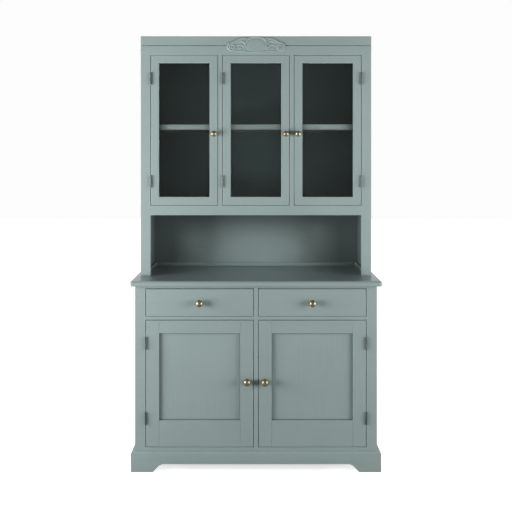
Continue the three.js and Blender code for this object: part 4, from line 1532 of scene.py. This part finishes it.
# %% Lines to cut
top_cut = [(18, 77), (34, 76), (47, 70), (60, 68.5), (76, 69)]
top_cut += [(90, 65), (100, 57), (113, 52.5), (126, 51)]
half_cuts = [
    (top_cut, 1.6, 2.4),
    ([(0, 71), (18, 70.5), (31, 65), (40, 56), (44, 48)], 1.3, 1.2),
    ([(50, 63), (60, 54), (72, 49), (84, 48), (97, 46)], 2.4, 2.7),
    ([(96, 47), (94.5, 36), (95, 24), (99, 15)], 1.7, 2.4),
    ([(100, 13), (110, 8.5), (121, 7), (132, 9), (140, 15), (144, 24)], 1.6, 2.4),
    ([(56, 44), (66, 36), (78, 32), (90, 31)], 1.5, 1.8),
    ([(58, 27), (68, 17), (80, 14), (92, 14)], 1.5, 1.8),
]
cut_points = []
for path, half_width, depth in half_cuts:
    for side in (-1, 1):
        line = draw_line([(side * x, z, 1) for x, z in path], 0.0, CUT_STEPS)
        for corner in line.data.vertices:
            place = (crest_middle + corner.co.x, 0, crest_low.z + corner.co.z)
            cut_points.append((place, half_width * MM, depth * MM))
        discard(line)
nearest = KDTree(len(cut_points))
for i, (place, half_width, depth) in enumerate(cut_points):
    nearest.insert(place, i)
nearest.balance()
print("The cuts follow", len(cut_points), "points")

# %% Cutting the lines
# Painted shade in the carving's cuts and on the low ground beside the strands.
CREST_SHADE, CREST_SHADE_HEIGHT = 0.15, 2.4 * MM
RELIEF, LEAST_WOOD = 0.6, 0.8 * MM
deepest = crest_high.y - LEAST_WOOD


def nearness(point):
    """How near a point lies to a cut, from 0 to 1, and the cut's depth."""
    index, distance = nearest.find((point.x, 0, point.z))[1:]
    half_width, depth = cut_points[index][1:]
    return max(0.0, 1 - (distance / half_width) ** 2), depth


def crest_painted_shade(point):
    """A little painted shade in the cuts and low beside the strands."""
    above_plate = max(0.0, plate_front - point.y)
    return CREST_SHADE * max(nearness(point)[0], 0.5 - above_plate / CREST_SHADE_HEIGHT)


for corner in crest.data.vertices:
    if corner.co.y < deepest:
        share, depth = nearness(corner.co)
        corner.co.y = min(corner.co.y + share * depth, deepest)
add_modifier(crest, "DECIMATE", ratio=0.5)
mark_painted_shade(crest, crest_painted_shade)
take_up(crest)
bpy.ops.transform.resize(value=(1, RELIEF, 1), center_override=(0, crest_high.y, 0))
apply_place()
smooth(60)
settle(crest, "carcass", paints["across"])
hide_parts("crest_ornament")
print("The crest stands", round(crest.dimensions.y / MM, 1), "mm proud")

# %% [markdown]
# ## Catches
# A small magnetic catch behind each door keeps it shut: a block on the carcass and a plate on
# the door's inner face. The base has it under the board above its opening, the hutch on its floor.

# %% Catches
CATCH, CATCH_PLATE = Vector((38, 14, 11)) * MM, Vector((24, 0.5, 8)) * MM
CATCH_GAP, PLATE_LIFT = 0.6 * MM, 2.5 * MM
CATCH_EASE, PLATE_EASE = 1.2 * MM, 0.15 * MM


def fit_catch(door, foot, plate_foot, back_of_door):
    """A catch block on the carcass and a plate on the door, in line with the knob."""
    low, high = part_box(f"{door}_knob")
    x = (low.x + high.x) / 2
    low = Vector((x - CATCH.x / 2, back_of_door + CATCH_GAP, foot))
    block = ease_edges(add_block(f"{door}_catch_block", low, low + CATCH), CATCH_EASE)
    settle(block, "carcass", dark_steel)
    low = Vector((x - CATCH_PLATE.x / 2, back_of_door, plate_foot))
    plate = add_block(f"{door}_catch_plate", low, low + CATCH_PLATE)
    settle(ease_edges(plate, PLATE_EASE), door, bright_steel)


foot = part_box("drawer_runner_frame_left")[0].z - CATCH.z
for door in ("base_door_left", "base_door_right"):
    fit_catch(door, foot, foot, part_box(f"{door}_knob_stile")[1].y)
for door in GLAZED_DOORS:
    fit_catch(door, cabinet_floor, cabinet_floor + PLATE_LIFT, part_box(f"{door}_frame")[1].y)
print("Each door has a catch")
